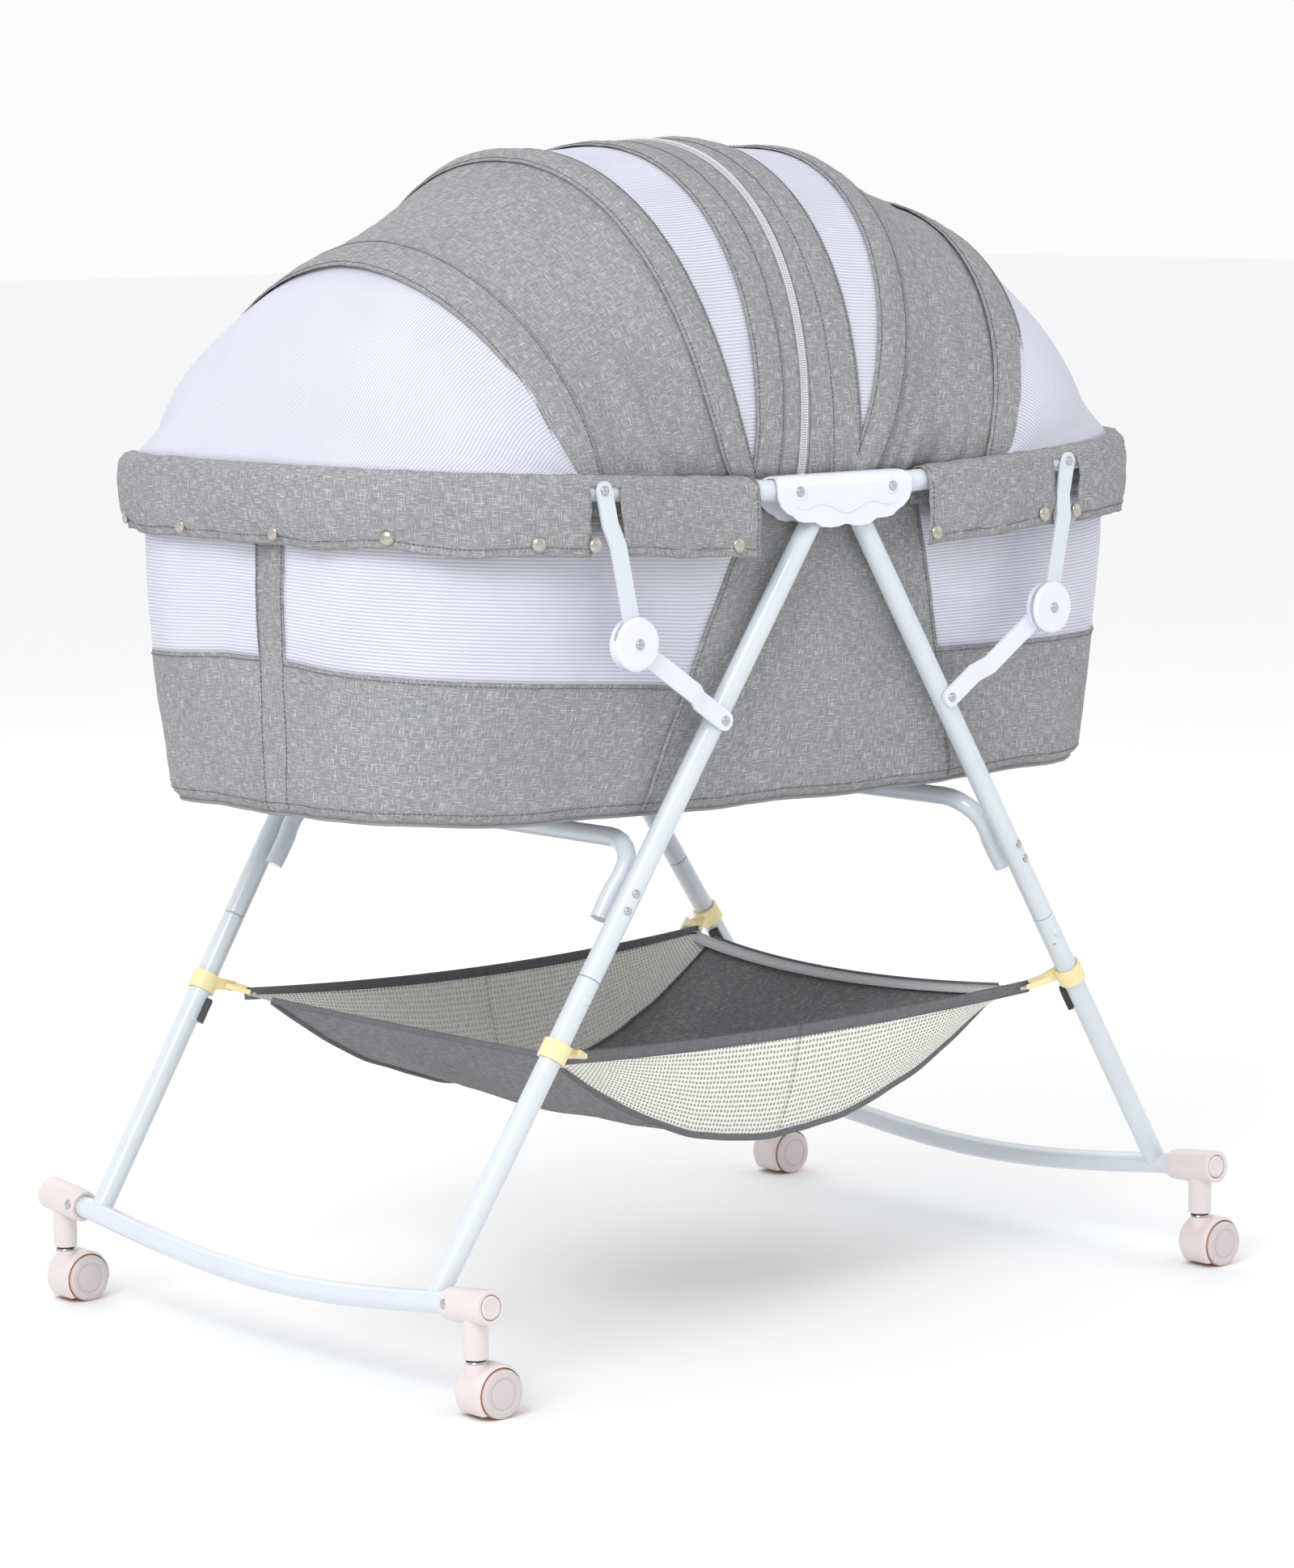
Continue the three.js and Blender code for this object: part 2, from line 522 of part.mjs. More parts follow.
// Flat pad that follows the tub's floor, with a crowned top.
function padSolid(bottom, thickness, inset, crown) {
  const plan = (extra) => tubOutline(TUB_HALF_L - inset - extra, RAIL_HALF_W - 15 - TUB_LEAN - inset - extra, 112 - extra, 3);
  const fold = (k) => plan(0).map(([x, y]) => [x * (k < 0.5 ? 0.96 : 1), y * k]);
  const rows = (up) => {
    const h = (e) => (up ? thickness - e : e);
    const edge = Math.min(4, thickness / 4);
    const list = [plan(0).map(([x, y]) => v3(x, y, TUB_FLOOR + bottom + h(edge))),
      plan(edge).map(([x, y]) => v3(x, y, TUB_FLOOR + bottom + h(0))),
      fold(0.82).map(([x, y]) => v3(x * 0.93, y, TUB_FLOOR + bottom + h(0) + (up ? crown : 0))),
      fold(0.4).map(([x, y]) => v3(x * 0.9, y, TUB_FLOOR + bottom + h(0) + (up ? crown * 1.3 : 0)))];
    return list;
  };
  const top = rows(true);
  const bot = rows(false);
  const ring = [...top.slice().reverse(), ...bot];
  const n = ring[0].length;
  const pos = [];
  const idx = [];
  for (const r of ring) for (const p of r) pos.push(p.x, p.y, p.z);
  for (let i = 0; i < ring.length - 1; i++) {
    for (let j = 0; j < n; j++) {
      const a = i * n + j;
      const b = i * n + (j + 1) % n;
      idx.push(a, a + n, b + n, a, b + n, b);
    }
  }
  // close both faces with strips across the bed
  for (const [base, flip] of [[0, false], [(ring.length - 1) * n, true]]) {
    const order = THREE.ShapeUtils.triangulateShape(
      Array.from({ length: n }, (_, j) => new THREE.Vector2(pos[3 * (base + j)], pos[3 * (base + j) + 1])), []);
    for (const [a, b, c] of order) {
      if (flip) idx.push(base + a, base + c, base + b); else idx.push(base + a, base + b, base + c);
    }
  }
  const g = new THREE.BufferGeometry();
  g.setAttribute('position', new THREE.BufferAttribute(new Float32Array(pos), 3));
  g.setIndex(idx);
  return toSolid(g);
}

// Cloth cuff over the rail: outer skirt, over the tube, short inner return.
function cuff() {
  const path = railPoints(44);
  const r0 = (TUBE_R + GAP) / Math.cos(Math.PI / 8);
  const section = [[r0 + 2.4, -CUFF_DROP], [r0 + 1.2, -CUFF_DROP * 0.45], [r0, 0]];
  for (let i = 1; i <= 3; i++) section.push([r0 * Math.cos(i * Math.PI / 4), r0 * Math.sin(i * Math.PI / 4)]);
  section.push([-r0, 0], [-r0 - 0.6, -9]);
  const row = (grow) => path.map((p, i) => {
    const before = p.clone().sub(path[Math.max(0, i - 1)]).normalize();
    const after = path[Math.min(path.length - 1, i + 1)].clone().sub(p).normalize();
    const along = before.add(after).normalize();
    const out = v3(along.y, -along.x, 0).normalize();
    return section.map(([n, z], k) => {
      const m = grow ? CLOTH : 0;
      const up = k >= 3 && k <= 5 ? Math.sin((k - 2) * Math.PI / 4) : 0;
      const side = k <= 2 ? 1 : k >= 6 ? -1 : Math.cos((k - 2) * Math.PI / 4);
      return p.clone().addScaledVector(out, n + m * side).add(v3(0, 0, z + m * up));
    });
  });
  let solid = skin(row(true), row(false));
  for (const sy of [-1, 1]) { // opening for the brace
    const z = railHeight(brace.top.x);
    const side = sy * (RAIL_HALF_W + 8.5);
    solid = solid.subtract(block(brace.top.x - 17, brace.top.x + 11, Math.min(side, side + 30 * sy), Math.max(side, side + 30 * sy),
      z - CUFF_DROP - 20, z + 8.5));
  }
  return solid;
}

// ---- canopy ----
// Each bow: foot and top along the bed, top height, how its wire bows out, and its roundness.
const bows = {
  left_bow_outer: { side: -1, foot: -265, top: -300, height: 918, sweep: 1, squareness: 1.85, inset: BOW_INSET },
  left_bow_middle: { side: -1, foot: -79, top: -139, height: CANOPY_TOP - 6, sweep: 0.5, squareness: 2.15, inset: BOW_INSET },
  left_bow_inner: { side: -1, foot: -79, top: -34, height: CANOPY_TOP, sweep: 0.4, squareness: 2.15, inset: INNER_INSET },
  right_bow_inner: { side: 1, foot: 25, top: 48, height: CANOPY_TOP + 3, sweep: 1, squareness: 2.15, inset: INNER_INSET },
  right_bow_middle: { side: 1, foot: 25, top: 149, height: CANOPY_TOP - 5, sweep: 0.65, squareness: 2.15, inset: BOW_INSET },
  right_bow_outer: { side: 1, foot: 205, top: 290, height: 948, sweep: 1, squareness: 1.95, inset: BOW_INSET },
};

// Point of a bow at angle a, 0 near side to PI far side; lift moves it outwards off the wire.
function bowPoint(b, a, lift = 0) {
  const base = railHeight(b.foot);
  const c = Math.cos(a);
  const up = Math.abs(Math.sin(a)) ** (2 / b.squareness);
  const across = Math.sign(c) * Math.abs(c) ** (2 / b.squareness);
  const w = RAIL_HALF_W - b.inset;
  return v3(b.foot + (b.top - b.foot) * up ** b.sweep, -(w + lift * 0.8) * across, base + (b.height - base + lift) * up);
}

// Angles round the arch that wire and cloth share; cloth starts at the second one.
const ARCH_STEPS = 16;
const archAngle = (i) => Math.PI * (0.028 + 0.944 * i / ARCH_STEPS);
const bowWire = (b) => [0, ...Array.from({ length: ARCH_STEPS + 1 }, (_, i) => archAngle(i)), Math.PI]
  .map((a) => bowPoint(b, a));

// Ruled cloth between two bows, from share u0 to u1 of the way across, in rows round the arch.
function canopyPanel(a, b, u0, u1, across) {
  const grid = [];
  for (let i = 0; i <= ARCH_STEPS; i++) {
    const p = bowPoint(a, archAngle(i), CLOTH_LIFT);
    const q = bowPoint(b, archAngle(i), CLOTH_LIFT);
    grid.push(Array.from({ length: across + 1 }, (_, j) => p.clone().lerp(q, u0 + (u1 - u0) * j / across)));
  }
  return grid;
}

// Thickens a canopy grid away from the bed's centre.
function clothSolid(grid) {
  const mid = grid[Math.floor(grid.length / 2)][0];
  const outer = offsetGrid(grid, CLOTH);
  const away = outer[Math.floor(grid.length / 2)][0].clone().sub(mid).dot(mid.clone().sub(v3(0, 0, RAIL_Z)));
  return skin(grid, away > 0 ? outer : offsetGrid(grid, -CLOTH));
}

// Net from the outer bow down to the rail's end.
function endNet(b) {
  const path = new Polyline(railPoints(Math.abs(b.foot) - RAIL_PIVOT_X + 8, 2));
  const grid = [];
  for (let i = 0; i <= ARCH_STEPS; i++) {
    const p = bowPoint(b, archAngle(i), CLOTH_LIFT + 0.7);
    const e = path.getPoint(i / ARCH_STEPS);
    const q = v3(b.side * e.x, e.y, e.z + TUBE_R + CLOTH + 2.2);
    p.x += b.side * 1.6;
    p.z = Math.max(p.z, q.z + 0.4);
    grid.push([p, p.clone().lerp(q, 0.5), q]);
  }
  return clothSolid(grid);
}

// ---- basket ----
function basketGrid() {
  const grid = [];
  const us = [-1, -0.8, -0.5, -0.17, 0.17, 0.5, 0.8, 1];
  const vs = [[-1, 0], [-0.93, 0.55], [-0.84, 1], [-0.42, 1.1], [0, 1.14], [0.42, 1.1], [0.84, 1], [0.93, 0.55], [1, 0]];
  for (const u of us) {
    grid.push(vs.map(([v, d]) => {
      const bow = 1 - 0.1 * (1 - v * v);                        // end hems curve inwards
      const waist = 1 - 0.03 * (1 - u * u);                     // side hems too
      const dip = 9 * (1 - u * u) * Math.abs(v) ** 6 + 9 * (1 - v * v) * Math.abs(u) ** 6;
      return v3(u * BASKET_HALF_L * bow, v * BASKET_HALF_W * waist, BASKET_RIM_Z - dip - BASKET_DEPTH * d * (1 - Math.abs(u) ** 2.1));
    }));
  }
  return grid;
}

function basketClip() {
  const at = legAt(CLIP_Z);
  const ring = rod(at.clone().addScaledVector(legDir, -8), at.clone().addScaledVector(legDir, 8), TUBE_R + 3, 12);
  const arm = strapShape(v3(at.x - 7, 0, at.z - 1), v3(at.x - 24, 0, at.z - 5), 11, 5.5, 4.5);
  const lug = slab(arm, at.y + 7, at.y + 11, 3);
  return ring.add(lug).subtract(rod(at.clone().addScaledVector(legDir, -30), at.clone().addScaledVector(legDir, 30),
    (TUBE_R + GAP) / Math.cos(Math.PI / 12), 12));
}

// ---- assembly ----
const half = (solid, s) => (s < 0 ? solid.mirror([1, 0, 0]) : solid);
const bracket = bracketSolid();
add('near_bracket', bracket, PLASTIC);
add('far_bracket', bracket.mirror([0, 1, 0]), PLASTIC);
const rail = railSolid();
const frame = rockerFrame();
const crossBar = crossBrace();
const cuffCloth = cuff();
for (const [end, s] of ends) {
  add(`${end}_rail`, half(rail, s), PAINT);
  add(`${end}_rocker_frame`, half(frame, s), PAINT);
  add(`${end}_cross_brace`, half(crossBar, s), PAINT);
  add(`${end}_cuff`, half(cuffCloth, s), LINEN);
}
const leg = upperLeg();
const linkTop = upperLink();
const linkLow = lowerLink();
const housing = casterHousing();
const button = pushButton();
const clip = basketClip();
for (const [corner, sx, sy] of corners) {
  add(`${corner}_upper_leg`, mirrored(leg, sx, sy), PAINT);
  add(`${corner}_upper_link`, mirrored(linkTop, sx, sy), PAINT);
  add(`${corner}_lower_link`, mirrored(linkLow, sx, sy), PLASTIC);
  add(`${corner}_caster_housing`, mirrored(housing, sx, sy), CASTER);
  add(`${corner}_caster_button`, mirrored(button, sx, sy), CASTER);
  add(`${corner}_caster_fork`, casterFork(sx * STANCE_X, sy * STEM_Y), CASTER);
  add(`${corner}_twin_wheel`, twinWheel(sx * STANCE_X, sy * STEM_Y), CASTER);
  add(`${corner}_basket_clip`, mirrored(clip, sx, sy), CREAM);
}
add('tub', tub(), LINEN);
add('bottom_board', padSolid(CLOTH + GAP, BOARD_T, 24, 0), BOARD);
add('mattress', padSolid(CLOTH + 2 * GAP + BOARD_T, MATTRESS_T, 15, 5), PAD);
const basketTop = basketGrid();
add('basket', skin(offsetGrid(basketTop, -CLOTH), basketTop), MELANGE);

for (const [name, b] of Object.entries(bows)) add(name, bent(bowWire(b), BOW_R, 5), STEEL);
for (const [end, s] of ends) {
  const outer = bows[`${end}_bow_outer`];
  const middle = bows[`${end}_bow_middle`];
  const inner = bows[`${end}_bow_inner`];
  add(`${end}_end_net`, endNet(outer), NET);
  add(`${end}_canopy_panel`, clothSolid(canopyPanel(outer, middle, 0.01, 0.985, 3)), LINEN);
  add(`${end}_canopy_window`, clothSolid(canopyPanel(middle, inner, 0.01, 0.97, 1)), NET);
}
// front bands on the two inner bows, which meet at the zip
const zip = { ...bows.left_bow_inner, foot: -27, top: 12, sweep: 0.8, height: CANOPY_TOP + 2 };
add('left_front_band', clothSolid(canopyPanel(bows.left_bow_inner, zip, 0.0, 0.985, 1)), LINEN);
add('right_front_band', clothSolid(canopyPanel(bows.right_bow_inner, zip, 0.0, 0.985, 1)), LINEN);

export default root;
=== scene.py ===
# Looks of the bassinet on its folding stand: cloth, net, tubes, casters and hardware.
# Metres, +Z up, X along the bed.
import bmesh
import bpy
from math import cos, exp, pi, radians, sin, sqrt, tan
from mathutils import Matrix, Vector, noise


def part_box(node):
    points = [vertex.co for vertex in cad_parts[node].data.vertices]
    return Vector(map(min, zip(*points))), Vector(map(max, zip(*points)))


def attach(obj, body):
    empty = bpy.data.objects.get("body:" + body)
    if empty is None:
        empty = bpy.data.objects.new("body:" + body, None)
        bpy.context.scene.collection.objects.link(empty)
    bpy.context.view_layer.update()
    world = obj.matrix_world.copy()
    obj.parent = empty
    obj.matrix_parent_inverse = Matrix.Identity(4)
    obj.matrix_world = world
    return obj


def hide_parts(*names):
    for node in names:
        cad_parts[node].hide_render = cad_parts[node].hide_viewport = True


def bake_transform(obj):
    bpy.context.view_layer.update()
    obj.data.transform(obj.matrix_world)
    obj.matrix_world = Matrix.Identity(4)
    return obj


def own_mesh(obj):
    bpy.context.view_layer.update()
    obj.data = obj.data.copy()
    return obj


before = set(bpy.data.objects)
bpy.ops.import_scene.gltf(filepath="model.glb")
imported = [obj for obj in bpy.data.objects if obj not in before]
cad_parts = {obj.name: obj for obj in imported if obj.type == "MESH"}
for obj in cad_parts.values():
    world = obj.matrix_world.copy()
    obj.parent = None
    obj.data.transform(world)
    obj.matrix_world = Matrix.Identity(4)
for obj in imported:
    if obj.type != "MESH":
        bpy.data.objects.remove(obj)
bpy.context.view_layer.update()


# ---- camera ----
def make_camera():
    data = bpy.data.cameras.new("camera")
    data.lens, data.sensor_width = 118.2, 36
    data.shift_x, data.shift_y = 0.0168, 0.0006
    camera = bpy.data.objects.new("camera", data)
    bpy.context.scene.collection.objects.link(camera)
    azimuth, drop, roll = radians(40.43), radians(7.09), radians(-0.45)
    ahead = Vector((sin(azimuth) * cos(drop), cos(azimuth) * cos(drop), -sin(drop)))
    turn = ahead.to_track_quat("-Z", "Y").to_matrix().to_4x4() @ Matrix.Rotation(roll, 4, "Z")
    camera.matrix_world = Matrix.Translation((-2.939, -3.429, 1.010)) @ turn
    bpy.context.scene.camera = camera


make_camera()

# ---- sizes ----
rail_low, rail_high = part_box("right_rail")
TUBE_R = 0.0095
BRACE_R = 0.008
RAIL_W = rail_high[1] - TUBE_R           # rail axis, half width
RAIL_L = rail_high[0] - TUBE_R
RAIL_Z = rail_low[2] + TUBE_R
PIVOT_X = rail_low[0] + TUBE_R
CORNER_R = 0.183
RISE = radians(3)
LEG_TOP = Vector((0.0135, -RAIL_W, RAIL_Z - 0.0047))
FOOT_Y = 0.2354
LEG_FOOT = Vector((0.420, -FOOT_Y, 0.0863))
LEG_JOINT = 0.611
END_TILT = radians(5.5)
STEM_Y = 0.2885
ROCKER_END = 0.289                       # half length of the rocker's turned-up ends
HOUSING_IN, HOUSING_OUT = 0.257, 0.309   # the caster housing's two ends, from the middle
LINK_AT = 0.2124                         # the upper link's rivet, from the bracket's pivot along the rail
ELBOW = (0.2372, 0.2836, 0.6083)         # rivet between the two links
LOWER_RIVET = (0.13017, 0.2668, 0.5367)  # rivet between the lower link and the leg
CLIP_Z = 0.2763                          # height of the basket clips on the legs
MIDDLE_FOOT, INNER_FOOT = 0.0153, 0.0204   # how far the bows' feet stand in from the rail's axis
WHEEL_R = 0.0205
HOOD_W = 0.0165                    # half width of the hood over each twin wheel
TRAIL = 0.0127
CUFF_DROP = 0.054
CLOTH = 0.0009
TUB_L, TUB_W, TUB_R = 0.4245, 0.2445, 0.150
TUB_LEAN = 0.019
TUB_FLOOR = 0.463
BOW_LIFT = 0.0034
STRIP = 0.021                            # half width of the tape over each bow
BASKET_L, BASKET_W, BASKET_Z, BASKET_DEPTH = 0.268, 0.222, 0.264, 0.098


# ---- shader groups ----
def new_group(name, inputs, outputs):
    tree = bpy.data.node_groups.new(name, "ShaderNodeTree")
    for label, kind, value in inputs:
        socket = tree.interface.new_socket(name=label, in_out="INPUT", socket_type="NodeSocket" + kind)
        if value is not None:
            socket.default_value = value
    for label, kind in outputs:
        tree.interface.new_socket(name=label, in_out="OUTPUT", socket_type="NodeSocket" + kind)
    return tree, tree.nodes.new("NodeGroupInput"), tree.nodes.new("NodeGroupOutput")


class Wiring:
    """Adds nodes to a tree; inputs are given as values or as other nodes' sockets."""

    def __init__(self, tree):
        self.tree = tree

    def put(self, socket, value):
        if isinstance(value, bpy.types.NodeSocket):
            self.tree.links.new(value, socket)
        elif value is not None:
            socket.default_value = value

    def math(self, operation, a, b=None, c=None, clamp=False):
        node = self.tree.nodes.new("ShaderNodeMath")
        node.operation, node.use_clamp = operation, clamp
        for socket, value in zip(node.inputs, (a, b, c)):
            self.put(socket, value)
        return node.outputs[0]

    def scaled(self, vector, scale):
        node = self.tree.nodes.new("ShaderNodeVectorMath")
        node.operation = "MULTIPLY"
        self.put(node.inputs[0], vector)
        self.put(node.inputs[1], scale)
        return node.outputs[0]

    def noise(self, vector, scale=1.0, detail=2.0, rough=0.5):
        node = self.tree.nodes.new("ShaderNodeTexNoise")
        self.put(node.inputs["Vector"], vector)
        self.put(node.inputs["Scale"], scale)
        node.inputs["Detail"].default_value = detail
        node.inputs["Roughness"].default_value = rough
        return node.outputs["Fac"]

    def ramp(self, value, low, high):
        node = self.tree.nodes.new("ShaderNodeMapRange")
        node.interpolation_type = "SMOOTHSTEP"
        self.put(node.inputs[0], value)
        self.put(node.inputs[1], low)
        self.put(node.inputs[2], high)
        return node.outputs[0]

    def mix(self, share, a, b):
        node = self.tree.nodes.new("ShaderNodeMix")
        node.data_type = "RGBA"
        self.put(node.inputs[0], share)
        self.put(node.inputs[6], a)
        self.put(node.inputs[7], b)
        return node.outputs[2]

    def split(self, vector):
        node = self.tree.nodes.new("ShaderNodeSeparateXYZ")
        self.put(node.inputs[0], vector)
        return node.outputs


def weave_group():
    """Heathered linen: slubs along both threads, a fine plain weave and slow shade changes."""
    tree, a, b = new_group("heathered_weave",
        [("Vector", "Vector", None), ("Thread", "Color", (0.3, 0.3, 0.31, 1)),
        ("Slub", "Color", (0.62, 0.62, 0.62, 1)),
         ("Shade", "Color", (0.16, 0.16, 0.17, 1)), ("Slubs", "Float", 1.0)],
        [("Color", "Color"), ("Height", "Float"), ("Roughness", "Float")])
    w = Wiring(tree)
    vector = a.outputs["Vector"]
    warp = w.noise(w.scaled(vector, (95, 1300, 1)), 1.0, 3.0, 0.68)
    weft = w.noise(w.scaled(vector, (1300, 95, 1)), 1.0, 3.0, 0.68)
    grain = w.noise(vector, 900.0, 2.0)
    slow = w.noise(vector, 9.0, 3.0)
    body = w.math("MULTIPLY_ADD", w.math("ADD", warp, weft), 1.6, -1.1)
    body = w.math("ADD", body, w.math("MULTIPLY_ADD", grain, 0.5, -0.25), clamp=True)
    colour = w.mix(body, a.outputs["Shade"], a.outputs["Thread"])
    slub = w.math("MAXIMUM", w.ramp(warp, 0.53, 0.70), w.ramp(weft, 0.53, 0.70))
    slub = w.math("MULTIPLY", slub, a.outputs["Slubs"])
    colour = w.mix(slub, colour, a.outputs["Slub"])
    colour = w.mix(w.math("MULTIPLY", w.ramp(slow, 0.3, 0.75), 0.22), colour, a.outputs["Shade"])
    x, y, _ = w.split(vector)
    plain = w.math("MULTIPLY", w.math("SINE", w.math("MULTIPLY", x, 4200.0)),
        w.math("SINE", w.math("MULTIPLY", y, 4200.0)))
    height = w.math("ADD", w.math("MULTIPLY", plain, 0.3), w.math("ADD", w.math("MULTIPLY", slub, 0.5),
        w.math("MULTIPLY", body, 0.5)))
    w.put(b.inputs["Color"], colour)
    w.put(b.inputs["Height"], height)
    w.put(b.inputs["Roughness"], w.math("MULTIPLY_ADD", grain, 0.15, 0.8))
    return tree


def rib_net_group():
    """Fine net knitted in ribs across the cloth: its cover changes rib by rib."""
    tree, a, b = new_group("ribbed_net",
        [("Vector", "Vector", None), ("Ribs", "Float", 330.0), ("Cover", "Float", 0.5),
        ("Contrast", "Float", 0.35)],
        [("Alpha", "Float"), ("Height", "Float"), ("Color", "Color")])
    w = Wiring(tree)
    vector = a.outputs["Vector"]
    x, y, _ = w.split(vector)
    wave = w.math("MULTIPLY_ADD",
        w.math("SINE", w.math("MULTIPLY", w.math("MULTIPLY", y, a.outputs["Ribs"]), 2 * pi)),
        0.5, 0.5)
    hole = w.math("MULTIPLY_ADD", w.math("SINE", w.math("MULTIPLY", x, 2 * pi * 900)), 0.5, 0.5)
    drift = w.noise(vector, 14.0, 3.0)
    pattern = w.math("ADD", w.math("MULTIPLY", wave, 0.7), w.math("MULTIPLY", hole, 0.3))
    cover = w.math("MULTIPLY_ADD", pattern, a.outputs["Contrast"], a.outputs["Cover"])
    cover = w.math("ADD", cover, w.math("MULTIPLY_ADD", drift, 0.12, -0.06), clamp=True)
    w.put(b.inputs["Alpha"], cover)
    w.put(b.inputs["Height"], pattern)
    w.put(b.inputs["Color"], w.mix(pattern, (0.68, 0.68, 0.81, 1), (0.86, 0.86, 0.94, 1)))
    return tree


def honeycomb_group():
    """Coarse open net of small round holes in rows: the holes are partly see-through and painted darker,
    which is painted shade in the openings.
    """
    tree, a, b = new_group("honeycomb_net", [("Vector", "Vector", None), ("Cells", "Float", 250.0)],
        [("Alpha", "Float"), ("Height", "Float"), ("Color", "Color")])
    w = Wiring(tree)
    cells = tree.nodes.new("ShaderNodeTexVoronoi")
    cells.inputs["Randomness"].default_value = 0.12
    cells.voronoi_dimensions = "2D"
    w.put(cells.inputs["Vector"], a.outputs["Vector"])
    w.put(cells.inputs["Scale"], a.outputs["Cells"])
    thread = w.ramp(cells.outputs["Distance"], 0.20, 0.40)
    w.put(b.inputs["Alpha"], w.math("MULTIPLY_ADD", thread, 0.4, 0.6))
    w.put(b.inputs["Height"], thread)
    # Holes take the darker grey, painted shade seen in the openings; the threads keep their off-white.
    w.put(b.inputs["Color"], w.mix(thread, (0.52, 0.51, 0.47, 1), (0.90, 0.89, 0.83, 1)))
    return tree


def skin_group():
    """Moulded or sprayed surface: orange peel, fine scuffs and a slow change of tone."""
    tree, a, b = new_group("hard_skin",
        [("Vector", "Vector", None), ("Tone", "Color", (0.9, 0.9, 0.9, 1)),
        ("Worn", "Color", (0.8, 0.8, 0.8, 1)),
         ("Peel", "Float", 260.0), ("Gloss", "Float", 0.3), ("Scuffs", "Float", 0.5)],
        [("Color", "Color"), ("Height", "Float"), ("Roughness", "Float")])
    w = Wiring(tree)
    vector = a.outputs["Vector"]
    peel = w.noise(vector, a.outputs["Peel"], 2.0)
    slow = w.noise(vector, 22.0, 3.0)
    scuff = w.ramp(w.noise(w.scaled(vector, (1, 1, 0.25)), 420.0, 4.0, 0.7), 0.58, 0.8)
    scuff = w.math("MULTIPLY", scuff, a.outputs["Scuffs"])
    edge = w.math("MULTIPLY", w.ramp(slow, 0.45, 0.8), 0.35)
    w.put(b.inputs["Color"], w.mix(w.math("ADD", edge, w.math("MULTIPLY", scuff, 0.3), clamp=True),
        a.outputs["Tone"],
        a.outputs["Worn"]))
    w.put(b.inputs["Height"], w.math("ADD", peel, w.math("MULTIPLY", scuff, 0.25)))
    rough = w.math("ADD", a.outputs["Gloss"], w.math("MULTIPLY", slow, 0.08))
    w.put(b.inputs["Roughness"], w.math("ADD", rough, w.math("MULTIPLY", scuff, 0.15), clamp=True))
    return tree


WEAVE, NET, HONEYCOMB, SKIN = weave_group(), rib_net_group(), honeycomb_group(), skin_group()


def material(name, group, values, bump, distance, place="UV", **shader):
    """Principled material whose colour, roughness, cover and bump come from one group."""
    mat = bpy.data.materials.new(name)
    mat.use_nodes = True
    tree = mat.node_tree
    principled = tree.nodes["Principled BSDF"]
    at = tree.nodes.new("ShaderNodeTexCoord")
    look = tree.nodes.new("ShaderNodeGroup")
    look.node_tree = group
    tree.links.new(at.outputs[place], look.inputs["Vector"])
    for label, value in values.items():
        look.inputs[label].default_value = value
    lift = tree.nodes.new("ShaderNodeBump")
    lift.inputs["Strength"].default_value = bump
    lift.inputs["Distance"].default_value = distance
    tree.links.new(look.outputs["Height"], lift.inputs["Height"])
    tree.links.new(lift.outputs["Normal"], principled.inputs["Normal"])
    for out, to in (("Color", "Base Color"), ("Roughness", "Roughness"), ("Alpha", "Alpha")):
        if out in look.outputs:
            tree.links.new(look.outputs[out], principled.inputs[to])
    for label, value in shader.items():
        principled.inputs[label.replace("_", " ")].default_value = value
    return mat


def rgba(r, g, b):
    return (r, g, b, 1)


LINEN = material("heathered_linen", WEAVE, {"Thread": rgba(0.40, 0.402, 0.41), "Slub": rgba(0.74, 0.74, 0.74),
    "Shade": rgba(0.19, 0.192, 0.20), "Slubs": 0.8}, 0.6, 0.0006, Specular_IOR_Level=0.2)
MELANGE = material("melange_felt", WEAVE, {"Thread": rgba(0.26, 0.262, 0.268), "Slub": rgba(0.56, 0.56, 0.56),
    "Shade": rgba(0.12, 0.121, 0.126), "Slubs": 0.75}, 0.5, 0.0005, Specular_IOR_Level=0.2)
BINDING = material("grey_binding", WEAVE, {"Thread": rgba(0.20, 0.203, 0.212), "Slub": rgba(0.3, 0.3, 0.31),
    "Shade": rgba(0.12, 0.12, 0.13), "Slubs": 0.4}, 0.6, 0.0005, Specular_IOR_Level=0.2)
WINDOW = material("ribbed_window_net", NET, {"Ribs": 330.0, "Cover": 0.50, "Contrast": 0.32}, 0.4, 0.0006,
    Roughness=0.75, Specular_IOR_Level=0.3)
GUSSET = material("honeycomb_gusset", HONEYCOMB, {"Cells": 250.0}, 0.8, 0.0008, Roughness=0.8,
    Specular_IOR_Level=0.2)
COTTON = material("white_cotton", WEAVE, {"Thread": rgba(0.86, 0.86, 0.85), "Slub": rgba(0.93, 0.93, 0.93),
    "Shade": rgba(0.72, 0.72, 0.72), "Slubs": 0.5}, 0.4, 0.0005, Specular_IOR_Level=0.2, Sheen_Weight=0.2)
WEBBING = material("white_webbing", WEAVE, {"Thread": rgba(0.84, 0.84, 0.86), "Slub": rgba(0.93, 0.93, 0.95),
    "Shade": rgba(0.6, 0.6, 0.63), "Slubs": 0.7}, 0.9, 0.0007, Specular_IOR_Level=0.3)
THREAD = material("grey_thread", WEAVE, {"Thread": rgba(0.16, 0.16, 0.17), "Slub": rgba(0.3, 0.3, 0.3),
    "Shade": rgba(0.08, 0.08, 0.09), "Slubs": 0.3}, 0.3, 0.0003, place="Object", Specular_IOR_Level=0.3)


def hard(name, tone, worn, gloss, peel=260.0, scuffs=0.4, bump=0.08, **shader):
    return material(name, SKIN, {"Tone": rgba(*tone), "Worn": rgba(*worn), "Gloss": gloss, "Peel": peel,
        "Scuffs": scuffs},
        bump, 0.0004, place="Object", **shader)


